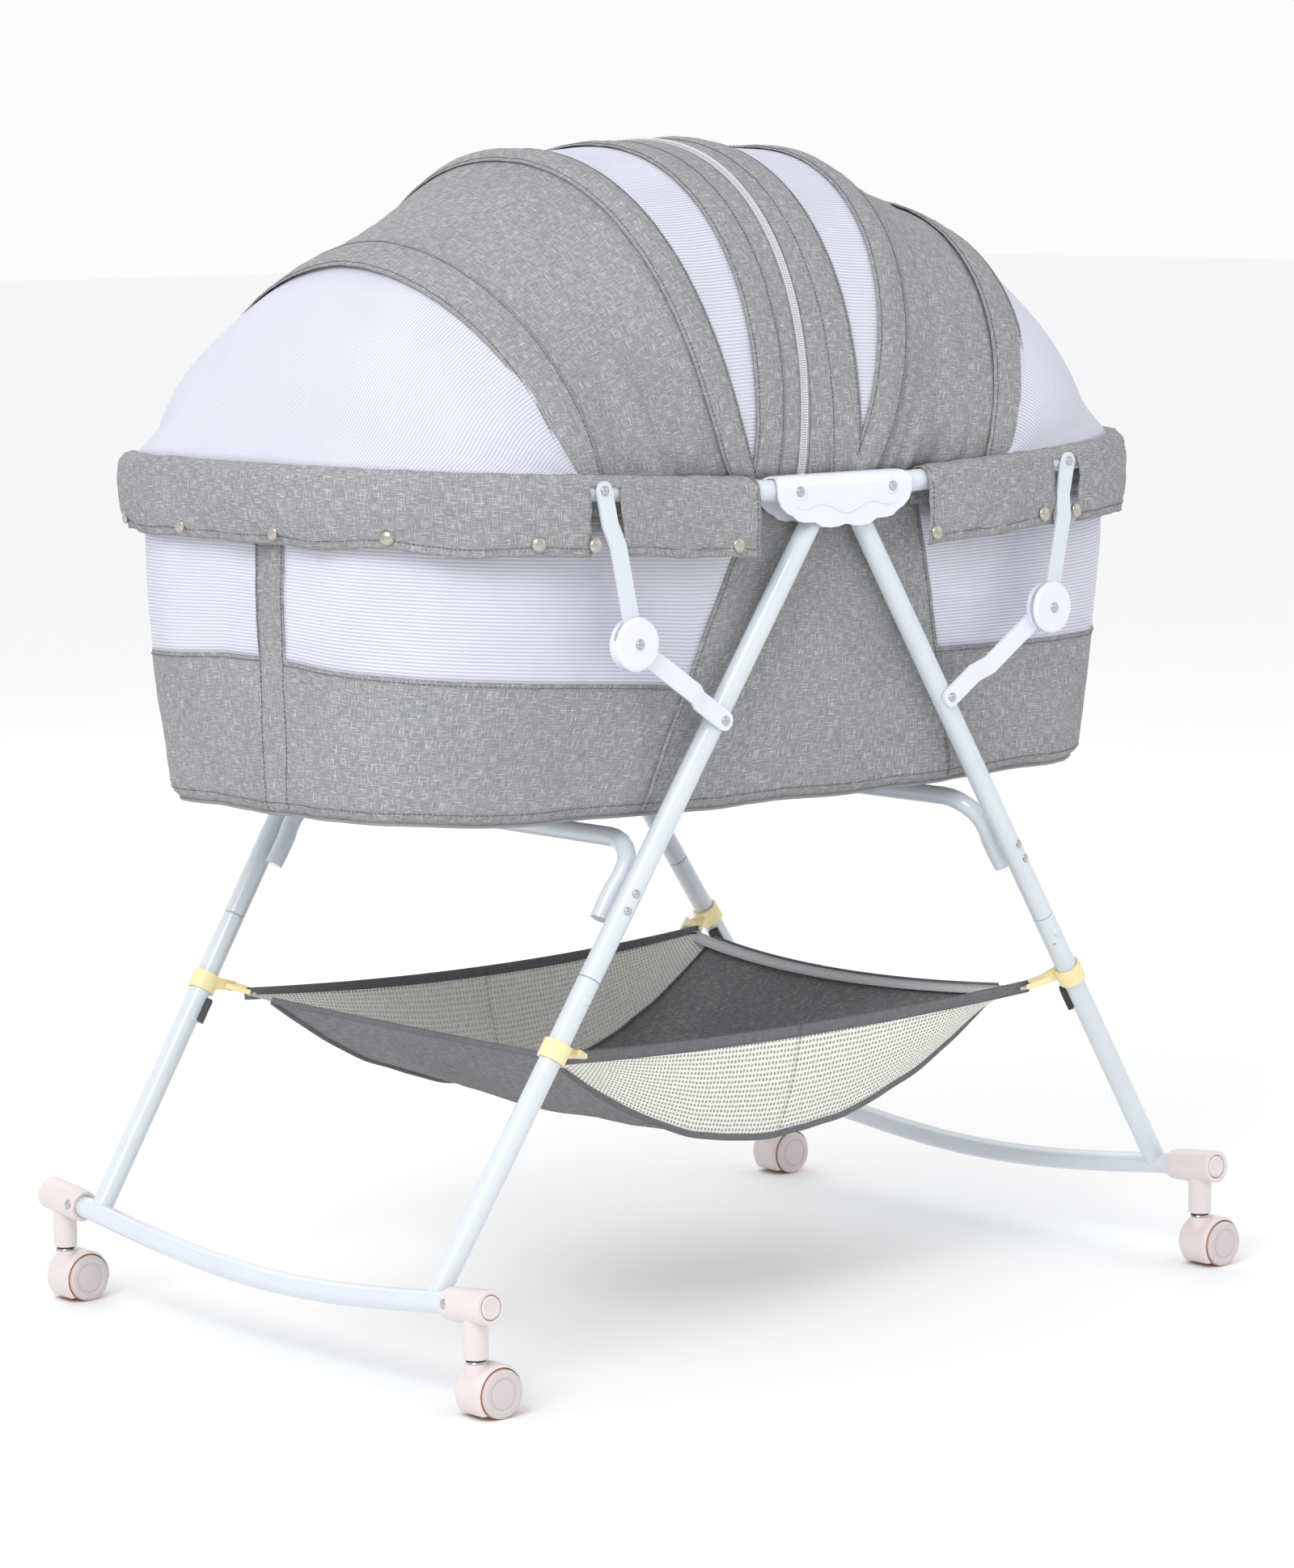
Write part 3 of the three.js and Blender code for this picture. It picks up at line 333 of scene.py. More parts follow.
PAINT = hard("white_powder_coat", (0.64, 0.685, 0.735), (0.57, 0.61, 0.66), 0.16, 420, 0.25, 0.12,
    Coat_Weight=0.35,
    Coat_Roughness=0.08)
GLOSS = hard("glossy_white_plastic", (0.77, 0.78, 0.86), (0.70, 0.71, 0.80), 0.2, 160, 0.2, 0.05,
    Subsurface_Weight=0.08,
    Subsurface_Radius=(0.006, 0.005, 0.007))
CASTER = hard("pinkish_white_plastic", (0.72, 0.645, 0.64), (0.65, 0.58, 0.57), 0.32, 300, 0.4, 0.1,
    Subsurface_Weight=0.12,
    Subsurface_Radius=(0.01, 0.006, 0.005))
DISC = hard("wheel_disc_plastic", (0.60, 0.545, 0.55), (0.54, 0.49, 0.49), 0.38, 300, 0.4, 0.1)
# Tread colour: orange-brown painted shade. It stands in for the wheel's inner ring, shaded under the hood,
# with warm light coming through its plastic.
TREAD_PAINTED_SHADE = hard("tread_painted_shade", (0.52, 0.25, 0.14), (0.42, 0.20, 0.11), 0.4, 300, 0.5, 0.15,
    Subsurface_Weight=0.3,
    Subsurface_Radius=(0.008, 0.003, 0.001))
CREAM = hard("cream_plastic", (0.88, 0.76, 0.42), (0.80, 0.68, 0.36), 0.34, 240, 0.3, 0.08,
    Subsurface_Weight=0.1,
    Subsurface_Radius=(0.006, 0.005, 0.003))
BLACK = hard("black_plastic", (0.02, 0.02, 0.022), (0.05, 0.05, 0.05), 0.4, 240, 0.5, 0.1)
STEEL = hard("bright_steel", (0.50, 0.51, 0.54), (0.40, 0.41, 0.43), 0.16, 500, 0.6, 0.06, Metallic=1.0)
NICKEL = hard("brushed_nickel", (0.50, 0.46, 0.41), (0.38, 0.35, 0.31), 0.22, 500, 0.7, 0.08, Metallic=1.0)
WIRE = hard("spring_wire", (0.55, 0.56, 0.58), (0.45, 0.46, 0.48), 0.3, 500, 0.5, 0.06, Metallic=1.0)
BOARD = hard("fibre_board", (0.42, 0.30, 0.19), (0.34, 0.24, 0.15), 0.75, 900, 0.8, 0.4)
FLOOR = hard("studio_floor", (0.95, 0.95, 0.95), (0.94, 0.94, 0.94), 0.55, 40, 0.1, 0.02)


# ---- mesh helpers ----
def new_piece(name, bm, mats, smooth=True):
    mesh = bpy.data.meshes.new(name)
    bm.to_mesh(mesh)
    bm.free()
    for mat in mats if isinstance(mats, (list, tuple)) else [mats]:
        mesh.materials.append(mat)
    if smooth:
        mesh.shade_smooth()
    piece = bpy.data.objects.new(name, mesh)
    bpy.context.scene.collection.objects.link(piece)
    return piece


def baked(piece):
    """The piece with its modifiers made into its mesh."""
    graph = bpy.context.evaluated_depsgraph_get()
    graph.update()
    mesh = bpy.data.meshes.new_from_object(piece.evaluated_get(graph))
    piece.modifiers.clear()
    piece.data = mesh
    return piece


def add_grid(bm, points, mat=0, around=False, keep=lambda i, j: True, flip=False, origin=(0.0, 0.0)):
    """Faces over rows of points, with a UV map in metres along and across the cloth."""
    uv = bm.loops.layers.uv.verify()
    rows = [[bm.verts.new(p) for p in row] for row in points]
    count = len(points[0])
    middle = points[len(points) // 2]
    along = [0.0]
    for j in range(1, count + 1):
        along.append(along[-1] + (Vector(middle[j % count]) - Vector(middle[j - 1])).length)
    down = [0.0]
    for i in range(1, len(points)):
        down.append(down[-1] + max(1e-4,
            (Vector(points[i][count // 2]) - Vector(points[i - 1][count // 2])).length))
    for i in range(len(points) - 1):
        for j in range(count if around else count - 1):
            if not keep(i, j):
                continue
            n = (j + 1) % count
            corners = [(i, j, j), (i, n, j + 1), (i + 1, n, j + 1), (i + 1, j, j)]
            if flip:
                corners.reverse()
            try:
                face = bm.faces.new([rows[a][b] for a, b, _ in corners])
            except ValueError:
                continue
            face.material_index = mat
            for loop, (a, _, c) in zip(face.loops, corners):
                loop[uv].uv = (origin[0] + along[c], origin[1] + down[a])
    return rows


def cloth_piece(name, grids, mats, thick=CLOTH, weld=1e-4):
    """Cloth from grids of points: each is (points, options of add_grid)."""
    bm = bmesh.new()
    for points, options in grids:
        add_grid(bm, points, **options)
    bmesh.ops.remove_doubles(bm, verts=bm.verts, dist=weld)
    loose = [v for v in bm.verts if not v.link_faces]
    bmesh.ops.delete(bm, geom=loose, context="VERTS")
    area = sum(f.calc_area() for f in bm.faces)
    piece = new_piece(name, bm, mats)
    if thick:
        wall = piece.modifiers.new("wall", "SOLIDIFY")
        wall.thickness, wall.offset = thick, 0
        baked(piece)
    piece["cloth_area"] = area
    return piece


def frames_along(points):
    """Tangent and two crosswise directions at each point, with no twist."""
    tangents = []
    for i in range(len(points)):
        a, b = points[max(0, i - 1)], points[min(len(points) - 1, i + 1)]
        tangents.append((b - a).normalized())
    side = tangents[0].orthogonal().normalized()
    out = []
    for t in tangents:
        side = (side - t * side.dot(t)).normalized()
        out.append((t, side, t.cross(side)))
    return out


def add_tube(bm, points, radius, sides=24, mat=0, caps=True):
    """Round bar along points; radius may change point by point."""
    points = [Vector(p) for p in points]
    rings = []
    for i, (p, (_, a, b)) in enumerate(zip(points, frames_along(points))):
        r = radius[i] if isinstance(radius, (list, tuple)) else radius
        rings.append([bm.verts.new(p + (a * cos(2 * pi * k / sides) + b * sin(2 * pi * k / sides)) * r)
            for k in range(sides)])
    for lower, upper in zip(rings, rings[1:]):
        for k in range(sides):
            n = (k + 1) % sides
            bm.faces.new((lower[k], lower[n], upper[n], upper[k])).material_index = mat
    if caps:
        bm.faces.new(list(reversed(rings[0]))).material_index = mat
        bm.faces.new(rings[-1]).material_index = mat


def add_lathe(bm, profile, at, axis, sides=40, mat=0):
    """Turned shape from (radius, height) pairs; radius 0 closes an end."""
    axis = Vector(axis).normalized()
    a = axis.orthogonal().normalized()
    b = axis.cross(a)
    at = Vector(at)
    rings = []
    for r, h in profile:
        if r < 1e-6:
            rings.append([bm.verts.new(at + axis * h)])
        else:
            rings.append([bm.verts.new(at + axis * h
                + (a * cos(2 * pi * k / sides) + b * sin(2 * pi * k / sides)) * r)
                for k in range(sides)])
    for lower, upper in zip(rings, rings[1:]):
        for k in range(sides):
            n = (k + 1) % sides
            corners = [lower[k % len(lower)], lower[n % len(lower)], upper[n % len(upper)],
                upper[k % len(upper)]]
            unique = list(dict.fromkeys(corners))
            if len(unique) > 2:
                bm.faces.new(unique).material_index = mat


def rounded(profile, r=0.0006, steps=3):
    """Profile with its inner corners rounded by r."""
    out = [profile[0]]
    for a, p, b in zip(profile, profile[1:], profile[2:]):
        a, p, b = Vector(a), Vector(p), Vector(b)
        cut = min(r, (a - p).length * 0.45, (b - p).length * 0.45)
        s, e = p + (a - p).normalized() * cut, p + (b - p).normalized() * cut
        for k in range(steps + 1):
            t = k / steps
            q = s.lerp(p, t).lerp(p.lerp(e, t), t)
            out.append((q.x, q.y))
    out.append(profile[-1])
    return out


def finish_piece(name, bm, mats, sharp=38):
    """Piece with outward faces, shaded smooth except at sharp edges."""
    bmesh.ops.recalc_face_normals(bm, faces=bm.faces)
    for edge in bm.edges:
        if len(edge.link_faces) == 2 and edge.calc_face_angle(0) > radians(sharp):
            edge.smooth = False
    return new_piece(name, bm, mats)


def remade(node, mat, body, bevel=0.0007, angle=40, name=None):
    """Copy of a CAD node with its edges rounded, in its place."""
    bm = bmesh.new()
    bm.from_mesh(bpy.data.objects[node].data)
    bmesh.ops.remove_doubles(bm, verts=bm.verts, dist=1e-5)
    bmesh.ops.dissolve_limit(bm, angle_limit=radians(1), verts=bm.verts, edges=bm.edges)
    piece = new_piece(name or node + "_moulding", bm, mat)
    edge = piece.modifiers.new("edge", "BEVEL")
    edge.width, edge.segments, edge.limit_method, edge.angle_limit = bevel, 2, "ANGLE", radians(angle)
    edge.harden_normals = False
    piece.modifiers.new("shade", "WEIGHTED_NORMAL")
    baked(piece)
    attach(piece, body)
    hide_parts(node)
    return piece


def wave(x, y=0.0, seed=0.0):
    return noise.noise(Vector((x, y, seed)))


# ---- shared lines ----
SIDES = (("left", -1), ("right", 1))
CORNERS = [(f"{end}_{side}", sx, sy) for end, sx in SIDES for side, sy in (("near", -1), ("far", 1))]
RAIL_RUN = (RAIL_L - PIVOT_X) / cos(RISE)
RAIL_STRAIGHT = RAIL_RUN - CORNER_R
RAIL_END = RAIL_W - CORNER_R
RAIL_LENGTH = 2 * RAIL_STRAIGHT + pi * CORNER_R + 2 * RAIL_END


def rail_at(side, a, out=0.0, up=0.0):
    """Point by the rail at distance a from the near pivot: out is away from the bed, up is vertical."""
    far = a > RAIL_LENGTH / 2
    b = RAIL_LENGTH - a if far else a
    if b < RAIL_STRAIGHT:
        x, y, nx, ny = b, -RAIL_W, 0.0, -1.0
    elif b < RAIL_STRAIGHT + CORNER_R * pi / 2:
        t = (b - RAIL_STRAIGHT) / CORNER_R
        x, y, nx, ny = RAIL_STRAIGHT + CORNER_R * sin(t), -RAIL_END - CORNER_R * cos(t), sin(t), -cos(t)
    else:
        x, y, nx, ny = RAIL_RUN, -RAIL_END + b - RAIL_STRAIGHT - CORNER_R * pi / 2, 1.0, 0.0
    if far:
        y, ny = -y, -ny
    return Vector((side * (PIVOT_X + x * cos(RISE) + nx * out), y + ny * out, RAIL_Z + x * sin(RISE) + up))


def rail_height(x):
    return RAIL_Z + max(0.0, abs(x) - PIVOT_X) * tan(RISE)


def leg_at(z):
    return LEG_TOP.lerp(LEG_FOOT, (LEG_TOP.z - z) / (LEG_TOP.z - LEG_FOOT.z))


def placed(p, sx, sy):
    """Point of the right near quarter in another corner of the stand."""
    return Vector((p[0] * sx, p[1] * -sy, p[2]))


# ---- steel frame ----
def make_frame():
    joint = LEG_TOP.lerp(LEG_FOOT, LEG_JOINT)
    end_dir = Vector((0, -cos(END_TILT), sin(END_TILT)))
    for end, s in SIDES:
        bm = bmesh.new()
        add_tube(bm, [rail_at(s, RAIL_LENGTH * i / 120) for i in range(121)], TUBE_R, 28)
        for a in (0, RAIL_LENGTH):
            add_lathe(bm, [(0, -TUBE_R)] + [(TUBE_R * sin(pi * k / 12), -TUBE_R * cos(pi * k / 12))
                for k in range(1, 12)] + [(0, TUBE_R)],
                rail_at(s, a), (1, 0, 0), 24)
        piece = finish_piece(f"{end}_rail_tube", bm, PAINT)
        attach(piece, f"{end}_rail_half")
        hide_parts(f"{end}_rail")
        # rocker: level end pieces for the casters, and a long sagging bow between the feet
        bm = bmesh.new()
        half = [LEG_FOOT + end_dir * (ROCKER_END - FOOT_Y) / cos(END_TILT), LEG_FOOT + end_dir * 0.025,
            LEG_FOOT.copy()]
        half += [Vector((LEG_FOOT.x, LEG_FOOT.y * f, LEG_FOOT.z - 0.019 * cos(f * pi / 2)))
            for f in (0.72, 0.42, 0.14)]
        pts = [Vector((s * p.x, p.y, p.z)) for p in half] + [Vector((s * p.x, -p.y, p.z))
            for p in reversed(half)]
        add_tube(bm, smooth_path(pts), TUBE_R, 28)
        for sy in (-1, 1):
            a, b = placed(joint, s, sy), placed(LEG_FOOT, s, sy)
            d = (b - a).normalized()
            n = 8
            pts = [a + d * 0.0002, a + d * 0.0006] + [a.lerp(b, k / n) for k in range(1, n)] + [b
                - d * 0.010, b]
            radii = [TUBE_R - 0.0006, TUBE_R] + [TUBE_R] * (n - 1) + [TUBE_R, TUBE_R - 0.0012]
            add_tube(bm, pts, radii, 28)
            add_lathe(bm, rounded([(0.0046, -0.001), (0.0046, 0.0008), (0.0036, 0.0022), (0, 0.0026)]),
                a + d * 0.018 + Vector((0, sy * (TUBE_R - 0.001), 0)), (0, sy, 0), 20)
        piece = finish_piece(f"{end}_rocker_tube", bm, PAINT)
        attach(piece, f"{end}_leg_frame")
        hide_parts(f"{end}_rocker_frame")
        for side, sy in (("near", -1), ("far", 1)):
            bm = bmesh.new()
            a, b = placed(LEG_TOP, s, sy), placed(joint, s, sy)
            d = (b - a).normalized()
            pts = [a - d * TUBE_R * cos(k * pi / 12) for k in range(0, 6)] + [a.lerp(b, k / 6)
                for k in range(1, 6)] + [b - d * 0.0008, b - d * 0.0003]
            radii = [max(0.0005, TUBE_R * sin(k * pi / 12)) for k in range(0, 6)] + [TUBE_R] * 6 + [TUBE_R
                - 0.0007]
            add_tube(bm, pts, radii, 28)
            piece = finish_piece(f"{end}_{side}_leg_tube", bm, PAINT)
            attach(piece, f"{end}_leg_frame")
            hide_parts(f"{end}_{side}_upper_leg")
        # cross brace: level bar with bent ends that lie against the legs
        bm = bmesh.new()
        half = [leg_plane(s, -0.2359, 0.377), leg_plane(s, -0.2352, 0.388)]
        for k in range(9):
            a = k / 8 * pi / 2
            half.append(leg_plane(s, -0.2334 + 0.042 * (1 - cos(a)), 0.439 - 0.0378 + 0.0378 * sin(a)))
        pts = half + [Vector((p.x, -p.y, p.z)) for p in reversed(half)]
        pts = [p + Vector((0, (1 if p.y < 0 else -1) * 0.0115 * min(1, max(0, (0.425 - p.z) / 0.03)), 0))
            for p in pts]
        add_tube(bm, pts, BRACE_R, 24)
        piece = finish_piece(f"{end}_brace_tube", bm, PAINT)
        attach(piece, f"{end}_leg_frame")
        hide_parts(f"{end}_cross_brace")


def leg_plane(s, y, z):
    return Vector((s * leg_at(z).x, y, z))


def smooth_path(points):
    """Even points on a smooth curve through the given ones."""
    n = len(points)
    out = []
    for i in range(n - 1):
        p0, p1, p2, p3 = points[max(0, i - 1)], points[i], points[i + 1], points[min(n - 1, i + 2)]
        for k in range(12):
            t = k / 12
            m1, m2 = (p2 - p0) / 2, (p3 - p1) / 2
            if i == 0:
                m1 = p2 - p1
            if i == n - 2:
                m2 = p2 - p1
            scale = (p2 - p1).length
            m1 = m1.normalized() * scale
            m2 = m2.normalized() * scale
            out.append(p1 * (2 * t**3 - 3 * t**2 + 1) + m1 * (t**3 - 2 * t**2 + t)
                + p2 * (-2 * t**3 + 3 * t**2)
                + m2 * (t**3 - t**2))
    out.append(points[-1].copy())
    return out


# ---- casters ----
def make_casters():
    end_dir = Vector((0, -cos(END_TILT), sin(END_TILT)))
    for corner, sx, sy in CORNERS:
        axis = placed(end_dir, 1, sy)
        foot = placed(LEG_FOOT, sx, sy)
        start = foot + axis * (HOUSING_IN - FOOT_Y) / cos(END_TILT)
        length = (HOUSING_OUT - HOUSING_IN) / cos(END_TILT)
        room = length - 0.018
        bm = bmesh.new()
        add_lathe(bm, rounded([(TUBE_R + 0.0003, 0.001), (0.0133, 0.0), (0.0133, 0.004), (0.0139, 0.005),
            (0.0145, 0.016), (0.0145, length), (0.0104, length),
            (0.0104, length - 0.008), (0.0036, length - 0.008), (0.0036, length - 0.014),
            (0, length - 0.014)],
            0.0009), start, axis, 48)
        add_lathe(bm, [(TUBE_R + 0.0003, 0.001), (TUBE_R + 0.0003, room), (0, room)], start, axis, 40)
        top = foot + axis * (STEM_Y - 0.2354) / cos(END_TILT)
        add_lathe(bm, rounded([(0, -0.004), (0.0104, -0.004), (0.0104, top.z - 0.0488),
            (0.0064, top.z - 0.0488),
            (0.0064, top.z - 0.0588)], 0.0009), top, (0, 0, -1), 40)
        piece = finish_piece(f"{corner}_housing_moulding", bm, CASTER)
        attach(piece, f"{corner}_housing")
        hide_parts(f"{corner}_caster_housing")
        bm = bmesh.new()
        add_lathe(bm, rounded([(0.0098, -0.0042), (0.0098, -0.0007), (0.0086, 0.0001), (0.0062, 0.0001),
            (0.0058, -0.0004), (0.0, 0.0002)], 0.0004),
            start + axis * length, axis, 40)
        piece = finish_piece(f"{corner}_push_disc", bm, CASTER)
        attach(piece, f"{corner}_button")
        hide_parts(f"{corner}_caster_button")
        stem = Vector((sx * LEG_FOOT.x, sy * STEM_Y, 0))
        for label, mat, profile in (("washer", STEEL, [(0.0052, 0.0453), (0.0082, 0.0453), (0.0086, 0.0460),
                (0.0082, 0.0468), (0.0052, 0.0468)]),
                ("collar", BLACK, [(0.0052, 0.0469), (0.0080, 0.0469), (0.0080, 0.0486), (0.0052, 0.0486)])):
            bm = bmesh.new()
            add_lathe(bm, profile + [profile[0]], stem, (0, 0, 1), 32)
            ring = finish_piece(f"{corner}_pin_{label}", bm, mat)
            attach(ring, f"{corner}_swivel")
        make_twin_wheel(corner, sx, sy)


def make_twin_wheel(corner, sx, sy):
    """Hooded fork with its pin, and two disc wheels with a tread on one hub."""
    stem = Vector((sx * LEG_FOOT.x, sy * STEM_Y, 0))
    hub = stem + Vector((TRAIL, 0, WHEEL_R))
    hood_r = WHEEL_R + 0.0034
    hood = bmesh.new()
    add_lathe(hood, rounded([(0, -HOOD_W), (hood_r - 0.0025, -HOOD_W), (hood_r, 0.0025 - HOOD_W),
        (hood_r, HOOD_W - 0.0025), (hood_r - 0.0025, HOOD_W), (0, HOOD_W)], 0.0018), hub, (0, 1, 0), 64)
    piece = finish_piece(f"{corner}_fork_hood", hood, CASTER, 50)
    cutters = []
    for y0, y1 in ((-0.03, -0.0026), (0.0026, 0.03)):
        bm = bmesh.new()
        add_lathe(bm, [(0, y0), (WHEEL_R + 0.0009, y0), (WHEEL_R + 0.0009, y1), (0, y1)], hub, (0, 1, 0), 64)
        cutters.append(finish_piece("cut", bm, CASTER))
    bm = bmesh.new()
    bmesh.ops.create_cube(bm, size=1)
    place = Matrix.Translation(hub) @ Matrix.Rotation(radians(-20), 4,
        "Y") @ Matrix.Translation((0, 0, -0.040)) @ Matrix.Diagonal((0.14, 0.09, 0.06, 1))
    bm.transform(place)
    cutters.append(finish_piece("cut", bm, CASTER))
    for cutter in cutters:
        cut = piece.modifiers.new("cut", "BOOLEAN")
        cut.operation, cut.object, cut.solver = "DIFFERENCE", cutter, "EXACT"
    baked(piece)
    for cutter in cutters:
        bpy.data.objects.remove(cutter)
    bm = bmesh.new()
    bm.from_mesh(piece.data)
    add_lathe(bm, rounded([(0, -0.0026), (0.009, -0.0026), (0.009, 0.0026), (0, 0.0026)], 0.0004), hub,
        (0, 1, 0), 32)
    add_lathe(bm, rounded([(0.0, 0.030), (0.009, 0.030), (0.009, 0.0440), (0.0076, 0.0452), (0.0076, 0.0482),
        (0.005, 0.0486), (0.005, 0.062), (0, 0.062)], 0.0005), stem, (0, 0, 1), 32)
    for edge in bm.edges:
        edge.smooth = not (len(edge.link_faces) == 2 and edge.calc_face_angle(0) > radians(40))
    fork = new_piece(f"{corner}_fork_moulding", bm, CASTER)
    bpy.data.objects.remove(piece)
    edge = fork.modifiers.new("edge", "BEVEL")
    edge.width, edge.segments, edge.limit_method, edge.angle_limit = 0.0004, 2, "ANGLE", radians(50)
    baked(fork)
    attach(fork, f"{corner}_swivel")
    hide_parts(f"{corner}_caster_fork")
    bm = bmesh.new()
    for way in (-1, 1):
        # The tread ring (material 1) carries the orange-brown painted shade of the wheel's inner ring.
        add_lathe(bm, rounded([(0, 0.0036), (WHEEL_R - 0.0004, 0.0036), (WHEEL_R, 0.006), (WHEEL_R, 0.0165),
            (WHEEL_R - 0.0004, 0.0172)], 0.0008), hub, (0, way, 0), 72, mat=1)
        add_lathe(bm, rounded([(WHEEL_R - 0.0004, 0.0172), (WHEEL_R - 0.0006, 0.0186),
            (WHEEL_R - 0.0026, 0.0196),
            (0.0138, 0.0198), (0.0132, 0.0189),
            (0.0122, 0.0189), (0.0118, 0.0197), (0.0, 0.0200)], 0.0006), hub, (0, way, 0), 72, mat=0)
    add_tube(bm, [hub + Vector((0, y, 0)) for y in (-0.0042, 0.0042)], 0.0032, 20, mat=2)
    piece = finish_piece(f"{corner}_wheel_pair", bm, [DISC, TREAD_PAINTED_SHADE, STEEL])
    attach(piece, f"{corner}_wheel")
    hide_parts(f"{corner}_twin_wheel")


# ---- brackets and braces ----
def make_brackets():
    for side, sy in (("near", -1), ("far", 1)):
        remade(f"{side}_bracket", GLOSS, "bracket_body", 0.0011, 35)
        # raised wavy bead under the rivets
        y = sy * (RAIL_W + 0.0132)
        pts = []
        for i in range(61):
            x = -0.058 + 0.116 * i / 60
            pts.append(Vector((x, y, RAIL_Z - 0.0155 - 0.0035 * cos(x / 0.058 * 2.2 * pi)
                + 0.0062 * (abs(x) / 0.058) ** 2)))
        bm = bmesh.new()
        add_tube(bm, pts, [0.0011 * min(1, 0.35 + min(i, 60 - i) / 6) for i in range(61)], 10)
        piece = finish_piece(f"{side}_bracket_bead", bm, GLOSS)
        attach(piece, "bracket_body")


def make_links():
    for corner, _, _ in CORNERS:
        end = corner.split("_")[0]
        remade(f"{corner}_upper_link", PAINT, f"{end}_upper_links", 0.0008, 50)
        remade(f"{corner}_lower_link", GLOSS, f"{end}_lower_links", 0.0009, 42)
        remade(f"{corner}_basket_clip", CREAM, f"{end}_leg_frame", 0.0008, 42)


make_frame()
make_casters()
make_brackets()
make_links()


# ---- bed cloth ----
TUB_A, TUB_C, TUB_E = TUB_L - TUB_R, TUB_R * pi / 2, TUB_W - TUB_R
TUB_HALF = 2 * (TUB_A + TUB_C + TUB_E)
STRIP_AT = (TUB_A + TUB_C + TUB_E - 0.058, TUB_A + TUB_C + TUB_E - 0.018)   # seam tape on each end


def tub_folds(s, f):
    """How far the cloth stands off its cut, with long folds below and small ones everywhere."""
    belly = 0.004 * sin(pi * min(1.0, f * 1.02))
    long = 0.0050 * wave(s * 8.0 + 0.4 * f, f * 0.9, 3.1) * min(1.0, f * 1.6)
    long += 0.0024 * wave(s * 26.0 + 1.5 * f, f * 1.1, 7.7) * min(1.0, f * 1.6)
    corner = 0.0030 * f * wave(s * 24.0 - 1.8 * f, f * 1.3, 8.7)
    fine = 0.0011 * wave(s * 52.0, f * 5.0, 1.9) + 0.0005 * wave(s * 120.0, f * 22.0, 5.3)
    return belly + long + corner + fine


def tub_point(s, f, off=0.0):
    """Point of the bed cloth: s runs round the bed from the near middle, f from the hem down to the floor."""
    drop = min(f, 1.0)
    l, w = TUB_L - 0.009 * drop, TUB_W - TUB_LEAN * drop
    a, e = l - TUB_R, w - TUB_R
    side = 1 if s >= 0 else -1
    q = abs(s)
    if q > TUB_HALF:
        q, side = 2 * TUB_HALF - q, -side
    far = q > TUB_HALF / 2
    if far:
        q = TUB_HALF - q
    if q < TUB_A:
        x, y, nx, ny = q / TUB_A * a, -w, 0.0, -1.0
    elif q < TUB_A + TUB_C:
        t = (q - TUB_A) / TUB_R
        x, y, nx, ny = a + TUB_R * sin(t), -e - TUB_R * cos(t), sin(t), -cos(t)
    else:
        x, y, nx, ny = l, -e + (q - TUB_A - TUB_C) / TUB_E * e, 1.0, 0.0
    if far:
        y, ny = -y, -ny
    x, nx = side * x, side * nx
    top = rail_height(x) - 0.0135
    low = TUB_FLOOR - 0.004 * cos(pi * min(1.0, abs(x) / TUB_L) / 2) + 0.0035 * wave(s * 9.0, 0, 6.6)
    n = off + tub_folds(s, f)
    round_off = max(0.0, f - 0.94) / 0.06
    n -= 0.008 * (1 - sqrt(max(0.0, 1 - min(1.0, round_off) ** 2)))
    return Vector((x + nx * n, y + ny * n, top + (low - top) * drop))


def share_at(s, z):
    """How far down the cloth height z is, at s."""
    top, low = tub_point(s, 0).z, tub_point(s, 1).z
    return (top - z) / (top - low)


def tub_patch(left, right, upper, lower, columns, rows, off=0.0):
    """Grid of the bed cloth between two seams and two levels, each a function of the other coordinate."""
    grid = []
    for i in range(rows + 1):
        line = []
        for j in range(columns + 1):
            s, f = (left(0.5) + right(0.5)) / 2, 0.5
            for _ in range(4):
                s = left(f) + (right(f) - left(f)) * j / columns
                f = upper(s) + (lower(s) - upper(s)) * i / rows
            line.append(tub_point(s, f, off))
        grid.append(line)
    return grid


def window_foot(s):
    """Lower edge of the net windows, lowest beside the middle panel on the left."""
    q = abs(s)
    q = min(q, TUB_HALF - q)
    if (s < 0):
        z = 0.564 + 0.029 * min(1.0, max(0.0, (q - 0.15) / 0.42)) ** 0.8
    else:
        z = 0.5765 + 0.010 * min(1.0, max(0.0, (q - 0.38) / 0.2))
    return share_at(s, z)


def panel_edge(side, far):
    """Slanting seam of the middle panel, from the hem to the floor."""
    def edge(f):
        if side < 0:
            x = -0.078 - 0.118 * f ** 0.9
        else:
            x = 0.108 + 0.066 * f
        return (side * TUB_HALF - x) if far else x
    return edge


